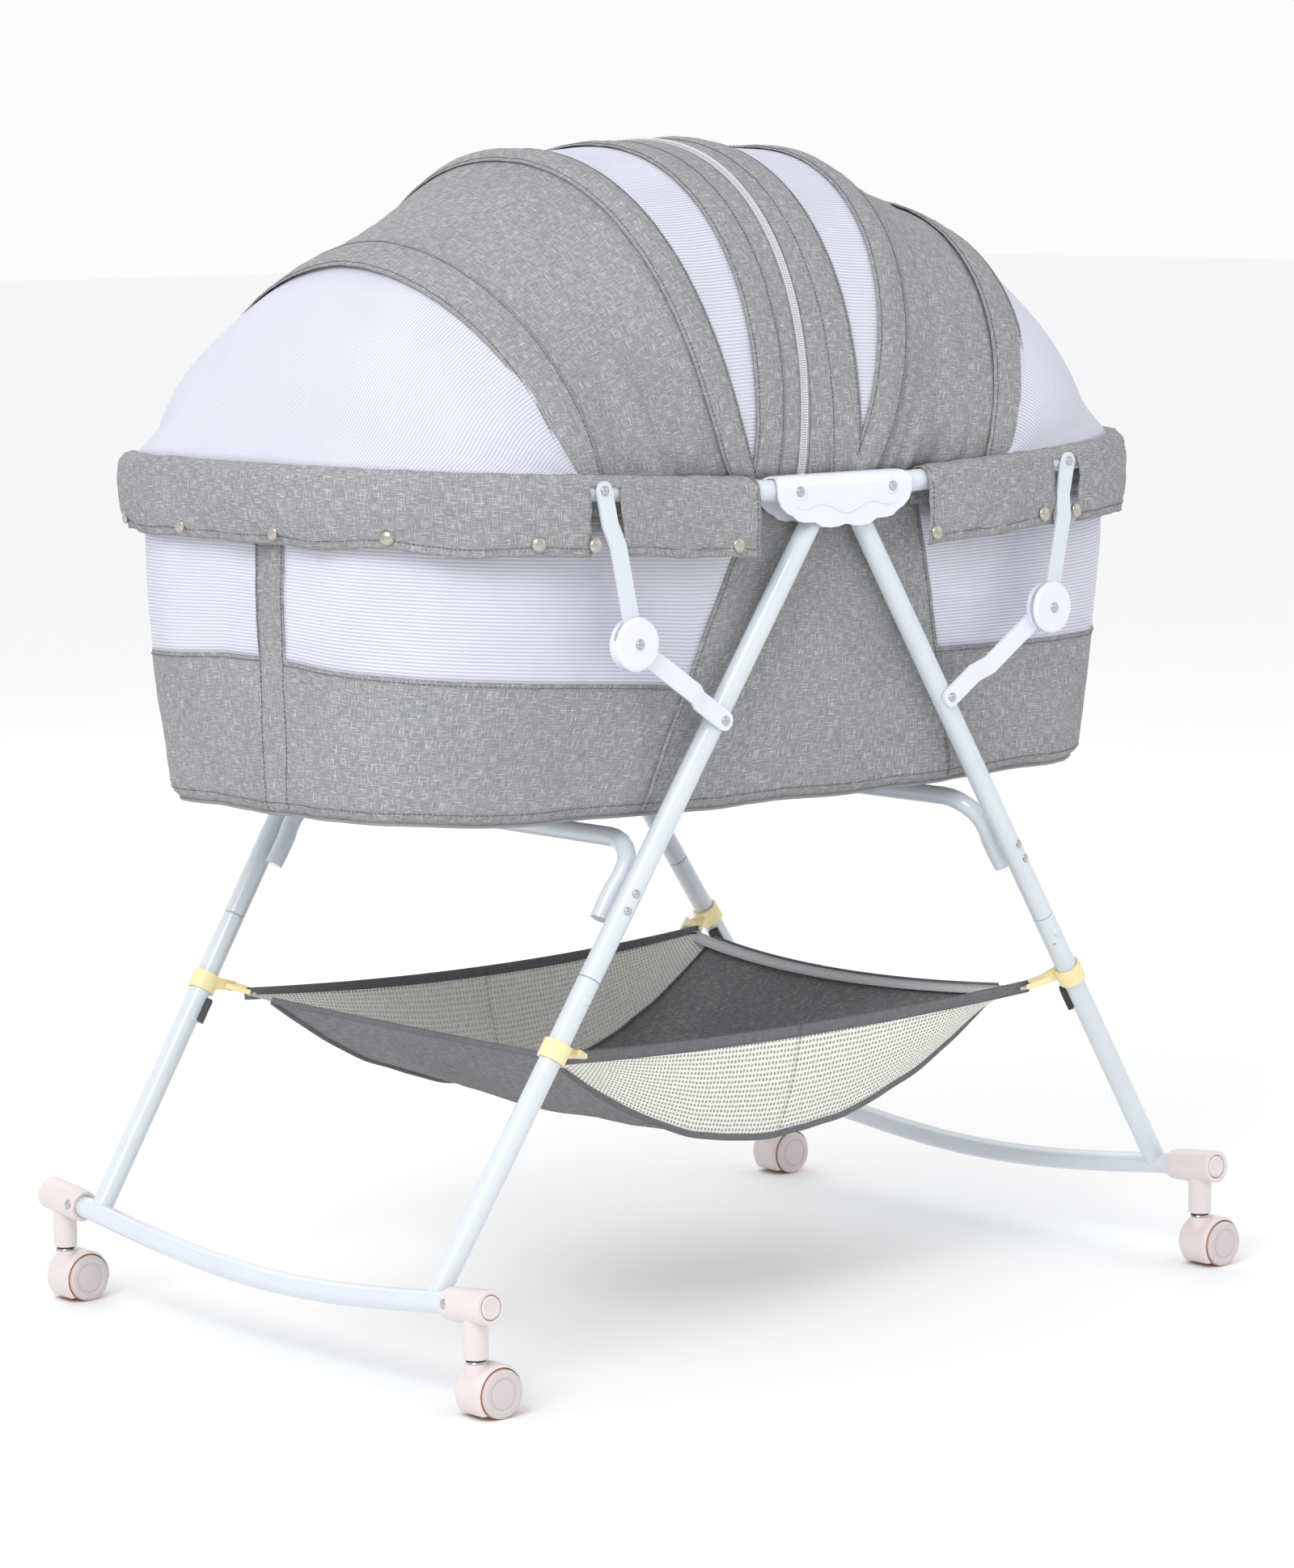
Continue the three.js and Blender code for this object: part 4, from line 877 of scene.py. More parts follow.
def make_bed_cloth():
    top = lambda s: 0.0
    head = lambda s: 0.07
    floor_line = lambda s: 1.0
    linen, net, seams = [], [], []
    for side in (-1, 1):
        near, far = panel_edge(side, False), panel_edge(side, True)
        first, last = ((lambda f: side * STRIP_AT[0]), (lambda f: side * STRIP_AT[1]))
        spans = [(near, first, 60), (first, last, 5), (last, far, 66)]
        for k, (a, b, columns) in enumerate(spans):
            a, b = (a, b) if side > 0 else (b, a)
            linen.append((tub_patch(a, b, top, head, columns, 2), {}))
            linen.append((tub_patch(a, b, window_foot, floor_line, columns, 22),
                {"origin": (0.7 * side + k, 0.3)}))
            if k == 1:
                linen.append((tub_patch(a, b, head, window_foot, columns, 20), {"origin": (0.2, 0.1)}))
            else:
                net.append((tub_patch(a, b, head, window_foot, columns, 20, -0.0004), {}))
                seams.append([tub_point(a(0.5) + (b(0.5) - a(0.5)) * j / 80,
                    window_foot(a(0.5) + (b(0.5) - a(0.5)) * j / 80) + 0.012, 0.0012) for j in range(81)])
        for f_line, lo in ((first, 0.02), (last, -0.02)):
            seams.append([tub_point(f_line(0) + side * lo * 0.1, 0.05 + 0.93 * j / 60, 0.0012)
                for j in range(61)])
    for far in (False, True):
        a, b = panel_edge(-1, far), panel_edge(1, far)
        if far:
            b_far = lambda f: 2 * TUB_HALF + panel_edge(-1, True)(f)
            a, b = panel_edge(1, True), b_far
        linen.append((tub_patch(a, b, top, floor_line, 40, 44), {"origin": (0.1, 0.9)}))
        for edge, way in ((a, 1), (b, -1)):
            seams.append([tub_point(edge(0.03 + 0.95 * j / 60) + way * 0.004, 0.03 + 0.95 * j / 60, 0.0012)
                for j in range(61)])
    hem = [tub_point(-TUB_HALF + 2 * TUB_HALF * j / 400, 0.965, 0.0012) for j in range(401)]
    seams.append(hem)
    ring = [tub_point(-TUB_HALF + 2 * TUB_HALF * j / 200, 1.0) for j in range(200)]
    rings = []
    for k in range(9):
        t = (1 - k / 8.2) ** 0.9
        rings.append([Vector((p.x * t, p.y * (t if k else 1),
            p.z - 0.0035 * (1 - t) + 0.0012 * wave(p.x * t * 18,
            p.y * t * 18, 4))) for p in ring])
    linen.append((rings, {"around": True, "flip": True}))
    cloth = cloth_piece("bed_cloth", linen, LINEN, weld=3e-4)
    windows = cloth_piece("bed_windows", net, WINDOW, thick=0.0005)
    # the floor's sewn edge
    cord = bmesh.new()
    edge = [tub_point(-TUB_HALF + 2 * TUB_HALF * j / 300, 1.0, 0.0006) + Vector((0, 0, -0.0006))
        for j in range(300)]
    add_tube(cord, edge + [edge[0]], 0.0016, 8, caps=False)
    piping = finish_piece("bed_floor_seam", cord, LINEN)
    stitches = stitch_piece("bed_stitches", seams)
    for piece in (cloth, windows, piping, stitches):
        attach(piece, "bracket_body")
        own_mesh(piece)
    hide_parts("tub")


# ---- mattress and board ----
def pad_outline(inset, count=120):
    return [tub_point(-TUB_HALF + 2 * TUB_HALF * j / count, 0.985,
        -inset - tub_folds(-TUB_HALF + 2 * TUB_HALF * j / count, 0.985)) for j in range(count)]


def make_mattress():
    low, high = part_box("mattress")
    bm = bmesh.new()
    z0, z1 = low[2] + 0.001, high[2] - 0.0075
    levels = [(0.014, z0, 0.3), (0.014, z0, 0.6), (0.014, z0, 1), (0.0115, z0 + 0.006, 1),
        (0.0115, z1 - 0.006, 1),
        (0.014, z1, 1), (0.030, z1 + 0.002, 1), (0.030, z1 + 0.004, 0.6), (0.030, z1 + 0.005, 0.3)]
    rings = []
    for inset, z, k in levels:
        rings.append([bm.verts.new((p.x * k, p.y * k, z)) for p in pad_outline(inset)])
    for lower, upper in zip(rings, rings[1:]):
        for j in range(len(lower)):
            n = (j + 1) % len(lower)
            bm.faces.new((lower[j], lower[n], upper[n], upper[j]))
    bm.faces.new(list(reversed(rings[0])))
    bm.faces.new(rings[-1])
    bmesh.ops.recalc_face_normals(bm, faces=bm.faces)
    pad = new_piece("mattress_pad", bm, COTTON)
    swell(pad, 0.006, high[2])
    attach(pad, "bracket_body")
    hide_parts("mattress")
    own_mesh(pad)
    bm = bmesh.new()
    low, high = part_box("bottom_board")
    fold = [low[0] + (high[0] - low[0]) * k / 4 for k in range(5)]
    for a, b in zip(fold, fold[1:]):
        inset = 0.022
        shape = [p for p in pad_outline(inset, 200) if a + 0.001 < p.x < b - 0.001]
        near = sorted([p for p in shape if p.y < 0], key=lambda p: p.x)
        away = sorted([p for p in shape if p.y >= 0], key=lambda p: -p.x)
        ring = near + away
        bottom = [bm.verts.new((p.x, p.y, low[2])) for p in ring]
        top = [bm.verts.new((p.x, p.y, high[2])) for p in ring]
        bm.faces.new(list(reversed(bottom)))
        bm.faces.new(top)
        for j in range(len(ring)):
            n = (j + 1) % len(ring)
            bm.faces.new((bottom[j], bottom[n], top[n], top[j]))
    board = finish_piece("folding_board", bm, BOARD)
    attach(board, "bracket_body")
    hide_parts("bottom_board")
    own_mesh(board)


def swell(piece, cap, ceiling):
    """Remeshes the pad and lets pressure round it, no point moving further than cap."""
    voxel = piece.modifiers.new("voxel", "REMESH")
    voxel.mode, voxel.voxel_size = "VOXEL", 0.006
    baked(piece)
    start = [v.co.copy() for v in piece.data.vertices]
    cloth = piece.modifiers.new("air", "CLOTH")
    cloth.settings.use_pressure = True
    cloth.settings.uniform_pressure_force = 4
    cloth.settings.effector_weights.gravity = 0
    scene = bpy.context.scene
    for k in range(1, 21):
        scene.frame_set(k)
    graph = bpy.context.evaluated_depsgraph_get()
    mesh = bpy.data.meshes.new_from_object(piece.evaluated_get(graph))
    piece.modifiers.clear()
    for vertex, home in zip(mesh.vertices, start):
        move = vertex.co - home
        if move.length > cap:
            vertex.co = home + move * (cap / move.length)
        vertex.co.z = min(max(vertex.co.z, home.z - 0.0005), ceiling)
    piece.data = mesh
    scene.frame_set(1)
    even = piece.modifiers.new("even", "SUBSURF")
    even.levels = even.render_levels = 1
    baked(piece)
    piece.data.shade_smooth()


# ---- stitches and studs, repeated by geometry nodes ----
def node_tree(name, sockets):
    tree = bpy.data.node_groups.new(name, "GeometryNodeTree")
    tree.is_modifier = True
    tree.interface.new_socket(name="Geometry", in_out="INPUT", socket_type="NodeSocketGeometry")
    for label, kind in sockets:
        tree.interface.new_socket(name=label, in_out="INPUT", socket_type="NodeSocket" + kind)
    tree.interface.new_socket(name="Geometry", in_out="OUTPUT", socket_type="NodeSocketGeometry")
    return tree, tree.nodes.new("NodeGroupInput"), tree.nodes.new("NodeGroupOutput")


def stitch_tree():
    """Short thread stitches at an even pitch along every edge line."""
    tree, a, b = node_tree("stitch_run", [("Pitch", "Float"), ("Length", "Float"), ("Radius", "Float"),
        ("Material", "Material")])
    new, link = tree.nodes.new, tree.links.new
    curve, even, points = (new("GeometryNodeMeshToCurve"), new("GeometryNodeResampleCurve"),
        new("GeometryNodeInstanceOnPoints"))
    even.mode = "LENGTH"
    stitch = new("GeometryNodeMeshCylinder")
    stitch.inputs["Vertices"].default_value = 5
    align = new("FunctionNodeAlignRotationToVector")
    align.axis = "Z"
    tangent = new("GeometryNodeInputTangent")
    real, paint = new("GeometryNodeRealizeInstances"), new("GeometryNodeSetMaterial")
    link(a.outputs["Geometry"], curve.inputs[0])
    link(curve.outputs[0], even.inputs["Curve"])
    link(a.outputs["Pitch"], even.inputs["Length"])
    link(a.outputs["Radius"], stitch.inputs["Radius"])
    link(a.outputs["Length"], stitch.inputs["Depth"])
    link(even.outputs[0], points.inputs["Points"])
    link(stitch.outputs["Mesh"], points.inputs["Instance"])
    link(tangent.outputs[0], align.inputs["Vector"])
    link(align.outputs[0], points.inputs["Rotation"])
    link(points.outputs[0], real.inputs[0])
    link(real.outputs[0], paint.inputs["Geometry"])
    link(a.outputs["Material"], paint.inputs["Material"])
    link(paint.outputs[0], b.inputs["Geometry"])
    return tree


def stud_tree():
    """Domed rivet or snap at every point, turned to the point's own direction and scaled to its size."""
    tree, a, b = node_tree("stud_field", [("Dome", "Float"), ("Material", "Material")])
    new, link = tree.nodes.new, tree.links.new
    dome = new("GeometryNodeMeshUVSphere")
    dome.inputs["Segments"].default_value, dome.inputs["Rings"].default_value = 24, 12
    dome.inputs["Radius"].default_value = 1.0
    flat, skirt, join = (new("GeometryNodeTransform"), new("GeometryNodeMeshCylinder"),
        new("GeometryNodeJoinGeometry"))
    skirt.inputs["Vertices"].default_value = 24
    skirt.inputs["Radius"].default_value, skirt.inputs["Depth"].default_value = 1.0, 0.22
    squeeze = new("ShaderNodeCombineXYZ")
    squeeze.inputs[0].default_value = squeeze.inputs[1].default_value = 0.94
    points = new("GeometryNodeInstanceOnPoints")
    size, way = new("GeometryNodeInputNamedAttribute"), new("GeometryNodeInputNamedAttribute")
    size.data_type, way.data_type = "FLOAT", "FLOAT_VECTOR"
    size.inputs["Name"].default_value, way.inputs["Name"].default_value = "size", "way"
    align = new("FunctionNodeAlignRotationToVector")
    align.axis = "Z"
    smooth, real, paint = (new("GeometryNodeSetShadeSmooth"), new("GeometryNodeRealizeInstances"),
        new("GeometryNodeSetMaterial"))
    link(dome.outputs["Mesh"], flat.inputs["Geometry"])
    link(a.outputs["Dome"], squeeze.inputs[2])
    link(squeeze.outputs[0], flat.inputs["Scale"])
    link(flat.outputs[0], smooth.inputs["Geometry"])
    link(smooth.outputs[0], join.inputs[0])
    link(skirt.outputs["Mesh"], join.inputs[0])
    link(a.outputs["Geometry"], points.inputs["Points"])
    link(join.outputs[0], points.inputs["Instance"])
    link(size.outputs["Attribute"], points.inputs["Scale"])
    link(way.outputs["Attribute"], align.inputs["Vector"])
    link(align.outputs[0], points.inputs["Rotation"])
    link(points.outputs[0], real.inputs[0])
    link(real.outputs[0], paint.inputs["Geometry"])
    link(a.outputs["Material"], paint.inputs["Material"])
    link(paint.outputs[0], b.inputs["Geometry"])
    return tree


STITCHES, STUDS = stitch_tree(), stud_tree()


def run_tree(piece, tree, values, mat):
    repeat = piece.modifiers.new("repeat", "NODES")
    repeat.node_group = tree
    for item in tree.interface.items_tree:
        if item.in_out == "INPUT" and item.name in values:
            repeat[item.identifier] = values[item.name]
    baked(piece)
    if not piece.data.materials:
        piece.data.materials.append(mat)
    return piece


def stitch_piece(name, lines, pitch=0.0042, length=0.0030, radius=0.00034, mat=THREAD):
    bm = bmesh.new()
    for line in lines:
        verts = [bm.verts.new(p) for p in line]
        for a, b in zip(verts, verts[1:]):
            bm.edges.new((a, b))
    piece = new_piece(name, bm, [], smooth=False)
    return run_tree(piece, STITCHES, {"Pitch": pitch, "Length": length, "Radius": radius, "Material": mat},
        mat)


def studs(name, body, places, mat, dome=0.45):
    """Rivet or snap heads on one body: places are (point, direction, radius)."""
    bm = bmesh.new()
    for point, _, _ in places:
        bm.verts.new(point)
    piece = new_piece(name, bm, [], smooth=False)
    size = piece.data.attributes.new("size", "FLOAT", "POINT")
    way = piece.data.attributes.new("way", "FLOAT_VECTOR", "POINT")
    for k, (_, direction, radius) in enumerate(places):
        size.data[k].value = radius
        way.data[k].vector = Vector(direction).normalized()
    run_tree(piece, STUDS, {"Dome": dome, "Material": mat}, mat)
    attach(piece, body)
    return piece


# ---- cuffs over the rails ----
SNAPS = ((0.068, 0.222, 0.268, 0.386, 0.506), (0.042 + 0.010, 0.180, 0.222, 0.386, 0.506))
LINK_A = (LINK_AT - 0.018, LINK_AT + 0.012)      # slot in the cuff for the folding brace


def cuff_section(side, a):
    """Cuff outline at distance a along the rail, from its outer hem up over the tube and down inside."""
    b = min(a, RAIL_LENGTH - a)
    end = min(1.0, max(0.0, (b - RAIL_STRAIGHT) / (CORNER_R * pi / 2)))
    end = end * end * (3 - 2 * end)
    foot = 0.0112 - 0.0145 * end                     # the skirt is drawn in round the ends
    r = TUBE_R + 0.0008
    rows = []
    count = 16
    for i in range(count):
        t = 1 - i / count
        n = r + (foot - r) * t ** 1.3 + 0.0022 * sin(pi * t)
        crumple = 0.0052 * wave(a * 17, t * 1.1, side * 3.0) + 0.0036 * wave(a * 41 + t * 2.6, t * 2.4,
            7.0) + 0.0015 * wave(a * 105 - t * 4, t * 5.0, 2.0)
        n += crumple * (0.25 + 0.75 * t) + 0.0012
        n = max(n, foot - 0.001 if t > 0.3 else r * 0.97)
        hem = 0.0045 * wave(a * 14, 0, 5.0)
        rows.append((n, -(CUFF_DROP + hem) * t))
    for k in range(13):
        turn = pi * k / 12
        bump = 0.0024 * abs(wave(a * 30, k * 0.35, 9.0)) + 0.0014 * abs(wave(a * 90, k * 0.8, 4.0)) + 0.0004
        rows.append(((r + bump) * cos(turn), (r + bump) * sin(turn)))
    for k in range(1, 5):
        rows.append((-r - 0.0002 - 0.0004 * k, -0.0055 * k))
    return rows


def make_cuffs():
    for end, s in SIDES:
        start, stop = 0.044, RAIL_LENGTH - 0.044
        marks = sorted({start, stop, LINK_A[0], LINK_A[1], RAIL_LENGTH - LINK_A[1], RAIL_LENGTH - LINK_A[0]})
        stations = []
        for a, b in zip(marks, marks[1:]):
            n = max(2, round((b - a) / 0.0045))
            stations += [a + (b - a) * k / n for k in range(n)]
        stations.append(stop)
        grid = [[rail_at(s, a, n, z) for n, z in cuff_section(s, a)] for a in stations]

        def outside_slot(i, j):
            a = (stations[i] + stations[i + 1]) / 2
            b = min(a, RAIL_LENGTH - a)
            return not (LINK_A[0] < b < LINK_A[1] and j < 17)

        cuff = cloth_piece(f"{end}_cuff_cloth", [(grid, {"keep": outside_slot, "flip": s > 0})], LINEN,
            thick=0.0012)
        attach(cuff, f"{end}_rail_half")
        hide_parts(f"{end}_cuff")
        lines = []
        spans = [(start, LINK_A[0]), (LINK_A[1], RAIL_LENGTH - LINK_A[1]), (RAIL_LENGTH - LINK_A[0], stop)]
        for a, b in spans:
            n = max(6, int((b - a) / 0.004))
            line = []
            for k in range(n + 1):
                at = a + 0.002 + (b - a - 0.004) * k / n
                rows = cuff_section(s, at)
                (n0, z0), (n1, z1) = rows[0], rows[3]
                t = 0.007 / max(0.008, abs(z1 - z0))
                line.append(rail_at(s, at, n0 + (n1 - n0) * t + 0.0010, z0 + (z1 - z0) * t))
            lines.append(line)
        for at in (start + 0.004, stop - 0.004):
            lines.append([rail_at(s, at, n + 0.001 * (1 if j < 16 else 0), z + 0.001) for j,
                (n, z) in enumerate(cuff_section(s, at)[:26])])
        stitch = stitch_piece(f"{end}_cuff_stitches", lines)
        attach(stitch, f"{end}_rail_half")
        places = []
        for b in SNAPS[0 if s < 0 else 1]:
            for at in (b, RAIL_LENGTH - b):
                rows = cuff_section(s, at)
                n, z = rows[3]
                point = rail_at(s, at, n + 0.0010, z)
                places.append((point, rail_at(s, at, n + 1, z + 0.05) - rail_at(s, at, n, z), 0.0066))
        studs(f"{end}_cuff_snaps", f"{end}_rail_half", places, NICKEL, 0.5)


# ---- canopy ----
# Each bow: foot and top along the bed, height, sweep, roundness, inset from the rail axis.
BOWS = {
    "left": [(-0.265, -0.300, 0.918, 1.0, 1.85, MIDDLE_FOOT), (-0.079, -0.139, 1.001, 0.5, 2.15, MIDDLE_FOOT),
    (-0.079, -0.034, 1.007, 0.4, 2.15, INNER_FOOT),
        (-0.027, 0.012, 1.009, 0.8, 2.15, INNER_FOOT)],
    "right": [(0.205, 0.290, 0.948, 1.0, 1.95, MIDDLE_FOOT), (0.025, 0.149, 1.002, 0.65, 2.15, MIDDLE_FOOT),
    (0.025, 0.048, 1.010, 1.0, 2.15, INNER_FOOT),
        (-0.027, 0.012, 1.009, 0.8, 2.15, INNER_FOOT)],
}


def bow_point(bow, a, lift=0.0):
    """Point of a bow at angle a, from the near rail over the top to the far rail."""
    foot, top, height, sweep, round_by, inset = bow
    base = rail_height(foot)
    up = abs(sin(a)) ** (2 / round_by)
    across = (1 if cos(a) > 0 else -1) * abs(cos(a)) ** (2 / round_by)
    w = RAIL_W - inset
    return Vector((foot + (top - foot) * up ** sweep, -(w + lift * 0.8) * across,
        base + (height - base + lift) * up))


def arch(i, n):
    return pi * (0.007 + 0.986 * i / n)


def canopy_cloth(bow_a, bow_b, u0, u1, across, steps=96, lift=BOW_LIFT, sag=0.0, creases=0.0, seed=0.0):
    """Cloth stretched between two bows, drawn in a little between them and creased towards its feet."""
    grid = []
    for i in range(steps + 1):
        a = arch(i, steps)
        p, q = bow_point(bow_a, a, lift), bow_point(bow_b, a, lift)
        middle = Vector((0, 0, RAIL_Z + 0.02))
        row = []
        for j in range(across + 1):
            u = u0 + (u1 - u0) * j / across
            point = p.lerp(q, u)
            inward = Vector((0, middle.y - point.y, middle.z - point.z)).normalized()
            dip = sag * 4 * u * (1 - u) * min(1.0, (p - q).length / 0.12)
            foot = exp(-((i if i < steps / 2 else steps - i) / steps) * 9)
            crease = creases * 4 * u * (1 - u) * (0.35 + 1.4 * foot) * (
                wave(u * 5.2 + a * 0.6, a * 1.9, seed) + 0.6 * wave(u * 12.0 - a, a * 3.6, seed + 5)
                + 0.25 * wave(u * 30, a * 14, seed + 9))
            row.append(point + inward * (dip - crease))
        grid.append(row)
    return grid


def strip_cloth(bow, toward, back, width, steps=96, lift=0.0048, seed=0.0):
    """Tape over a bow: it lies on the cloth on both sides of the wire and bulges over it."""
    grid = []
    for i in range(steps + 1):
        a = arch(i, steps)
        p = bow_point(bow, a, lift)
        ways = []
        for other in (toward, back):
            if other is None:
                ways.append(None)
                continue
            d = bow_point(other, a, lift) - p
            ways.append((d.normalized(), min(width, d.length * 0.9)) if d.length > 1e-5
                else (Vector((1 if other[1] > bow[1] else -1, 0, 0)), 0.0))
        row = []
        for k in range(-6, 7):
            t = abs(k) / 6
            way = ways[0] if k > 0 else ways[1]
            if way is None:
                other = ways[1] if k > 0 else ways[0]
                way = (-other[0], other[1])
            point = p + way[0] * way[1] * t
            point.z -= 0.0009 * t
            out = Vector((0, point.y, point.z - RAIL_Z - 0.02)).normalized()
            row.append(point + out * (0.0016 * cos(t * pi / 2) + 0.0005 * wave(a * 22, k * 0.3, seed)))
        grid.append(row)
    return grid


def make_canopy():
    for end, s in SIDES:
        outer, middle, inner, zip_line = BOWS[end]
        rail, centre, front = f"{end}_rail_half", f"{end}_canopy_middle", f"{end}_canopy_front"
        flip = s > 0
        for name, bow, body in (("outer", outer, rail), ("middle", middle, centre), ("inner", inner, front)):
            bm = bmesh.new()
            add_tube(bm, [bow_point(bow, pi * (0.002 + 0.996 * i / 80)) for i in range(81)], 0.0019, 12)
            piece = finish_piece(f"{end}_bow_{name}_wire", bm, WIRE)
            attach(piece, body)
            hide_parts(f"{end}_bow_{name}")
        panel = cloth_piece(f"{end}_canopy_cloth",
            [(canopy_cloth(outer, middle, 0.0, 1.0, 30, sag=0.005, creases=0.0058, seed=s * 2.0),
            {"flip": flip})],
            LINEN)
        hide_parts(f"{end}_canopy_panel")
        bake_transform(panel)
        window = cloth_piece(f"{end}_canopy_net",
            [(canopy_cloth(middle, inner, 0.0, 1.0, 14, sag=0.003, creases=0.001, seed=s * 4.0),
            {"flip": flip})],
            WINDOW, thick=0.0005)
        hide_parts(f"{end}_canopy_window")
        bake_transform(window)
        band_in = 1 - 0.0055 / max(0.02, abs(zip_line[1] - inner[1]))
        band = cloth_piece(f"{end}_zip_band",
            [(canopy_cloth(inner, zip_line, 0.0, band_in, 8, lift=0.0042, creases=0.0012, seed=s * 6.0),
            {"flip": flip})], LINEN)
        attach(band, front)
        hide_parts(f"{end}_front_band")
        tapes = [("outer", outer, middle, None, STRIP, rail), ("middle", middle, inner, outer, STRIP * 0.8,
            centre),
            ("inner", inner, zip_line, middle, STRIP * 0.8, front)]
        for name, bow, toward, back, width, body in tapes:
            grid = strip_cloth(bow, toward, back, width, seed=s * 3.0)
            tape = cloth_piece(f"{end}_{name}_tape", [(grid, {"flip": flip})], LINEN)
            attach(tape, body)
            lines = [[row[k] + Vector((0, row[k].y, row[k].z - RAIL_Z)).normalized() * 0.0009 for row in grid]
                for k in (1, 11)]
            stitch = stitch_piece(f"{end}_{name}_tape_stitches", lines)
            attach(stitch, body)
        make_end_net(end, s, outer)
        make_zip_half(end, s, inner, zip_line, front)


def make_end_net(end, s, outer):
    """Net from the outer bow down to the rail round the bed's end."""
    steps, drop = 110, 22
    start = abs(outer[0]) - PIVOT_X + 0.006
    grid = []
    for i in range(steps + 1):
        p = bow_point(outer, arch(i, steps), BOW_LIFT)
        a = start + (RAIL_LENGTH - 2 * start) * i / steps
        q = rail_at(s, a, -0.0045, TUBE_R + 0.0012)
        p.z = max(p.z, q.z + 0.0004)
        row = []
        for j in range(drop + 1):
            u = j / drop
            point = p.lerp(q, u)
            fill = sin(pi * min(1.0, u * 1.25)) * min(1.0, (p - q).length / 0.12)
            point += Vector((s * 0.010, 0.005 * (1 if point.y > 0 else -1) * min(1.0, abs(point.y) / 0.1),
                0.006)) * fill
            point.z += 0.0010 * sin(pi * u) * wave(i * 0.16, u * 3, 2.0 * s)
            row.append(point)
        grid.append(row)
    net = cloth_piece(f"{end}_end_netting", [(grid, {"flip": s < 0})], WINDOW, thick=0.0005)
    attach(net, f"{end}_rail_half")
    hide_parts(f"{end}_end_net")


def make_zip_half(end, s, inner, zip_line, front):
    """Half of the zip: its white tape and its coil of teeth."""
    steps = 120
    grid, teeth = [], []
    for i in range(steps + 1):
        a = arch(i, steps)
        p, q = bow_point(zip_line, a, 0.0048), bow_point(inner, a, 0.0048)
        d = (q - p).normalized() if (q - p).length > 1e-5 else Vector((s, 0, 0))
        inward = Vector((0, -p.y, RAIL_Z - p.z)).normalized()
        grid.append([p + d * (0.0006 + 0.0108 * k / 6) + inward * 0.0022 * min(1.0, k / 3) for k in range(7)])
        teeth.append(p + d * 0.0011 + Vector((0, p.y, p.z - RAIL_Z)).normalized() * 0.0009)
    tape = cloth_piece(f"{end}_zip_tape", [(grid, {"flip": s > 0})], WEBBING, thick=0.0008)
    coil = stitch_piece(f"{end}_zip_teeth", [teeth], 0.0021, 0.0013, 0.0010, WEBBING)
    for piece in (tape, coil):
        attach(piece, front)


# ---- basket ----
def basket_point(u, v, depth):
    """Point of the hanging basket: u along, v across, depth 0 at the rim and 1 in the hollow."""
    bow, waist = 1 - 0.1 * (1 - v * v), 1 - 0.03 * (1 - u * u)
    dip = 0.009 * (1 - u * u) * abs(v) ** 6 + 0.009 * (1 - v * v) * abs(u) ** 6
    return Vector((u * BASKET_L * bow, v * BASKET_W * waist,
        BASKET_Z - dip - BASKET_DEPTH * depth * (1 - abs(u) ** 2.1)))


def basket_cloth(u, k):
    """Main cloth: k from -1 at the near gusset to 1 at the far one."""
    v = 0.86 * k
    depth = 1.0 + 0.13 * (1 - k * k)
    p = basket_point(u, v, depth)
    p.z += (0.0035 * wave(u * 3.1, k * 2.6, 1.0) + 0.0014 * wave(u * 9, k * 8, 2.0)) * (1 - u * u) ** 0.5
    return p


def make_basket():
    columns = 36
    for end, s in SIDES:
        us = [s * i / columns for i in range(columns + 1)]
        main = [[basket_cloth(u, -1 + 2 * j / 48) for j in range(49)] for u in us]
        gussets, seams, rim = [], [], []
        for way in (-1, 1):
            gusset = []
            for u in us:
                top, low = basket_point(u, way, 0), basket_cloth(u, way)
                gusset.append([top.lerp(low, j / 16)
                    + Vector((0, way * 0.004 * sin(pi * j / 16) * (1 - u * u), 0))
                    for j in range(17)])
            gussets.append((gusset, {"flip": (s * way) > 0}))
            seams.append([row[-1] + Vector((0, way * 0.0008, -0.0006)) for row in gusset])
            rim.append([row[0] + Vector((0, 0, 0.0008)) for row in gusset])
        hem = [basket_cloth(us[-1], -1 + 2 * j / 48) for j in range(49)]
        cloth = cloth_piece(f"{end}_basket_cloth", [(main, {"flip": s < 0})], MELANGE, thick=0.0011)
        net = cloth_piece(f"{end}_basket_gussets", gussets, GUSSET, thick=0.0006)
        bm = bmesh.new()
        for line, size in [(x, 0.0032) for x in seams] + [(x, 0.0055) for x in rim] + [(hem, 0.0030)]:
            add_binding(bm, line, size)
        trim = new_piece(f"{end}_basket_binding", bm, BINDING)
        for piece in (cloth, net, trim):
            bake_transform(piece)
        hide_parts("basket")
        make_straps(end, s)


def add_binding(bm, line, size):
    """Folded tape along an edge, an oval bead with a weave map."""
    uv = bm.loops.layers.uv.verify()
    rings = []
    frames = frames_along(line)
    along = [0.0]
    for a, b in zip(line, line[1:]):
        along.append(along[-1] + (b - a).length)
    for p, (t, a, b) in zip(line, frames):
        up = Vector((0, 0, 1))
        side = t.cross(up).normalized() if abs(t.z) < 0.98 else a
        lift = side.cross(t).normalized()
        rings.append([bm.verts.new(p + side * cos(2 * pi * k / 8) * min(size * 0.5, 0.0014)
            + lift * sin(2 * pi * k / 8) * size) for k in range(8)])
    for i, (lower, upper) in enumerate(zip(rings, rings[1:])):
        for k in range(8):
            n = (k + 1) % 8
            face = bm.faces.new((lower[k], lower[n], upper[n], upper[k]))
            for loop, (u, v) in zip(face.loops, ((along[i], k), (along[i], k + 1), (along[i + 1], k + 1),
                    (along[i + 1], k))):
                loop[uv].uv = (u, v * size * 0.7)
    bm.faces.new(list(reversed(rings[0])))
    bm.faces.new(rings[-1])


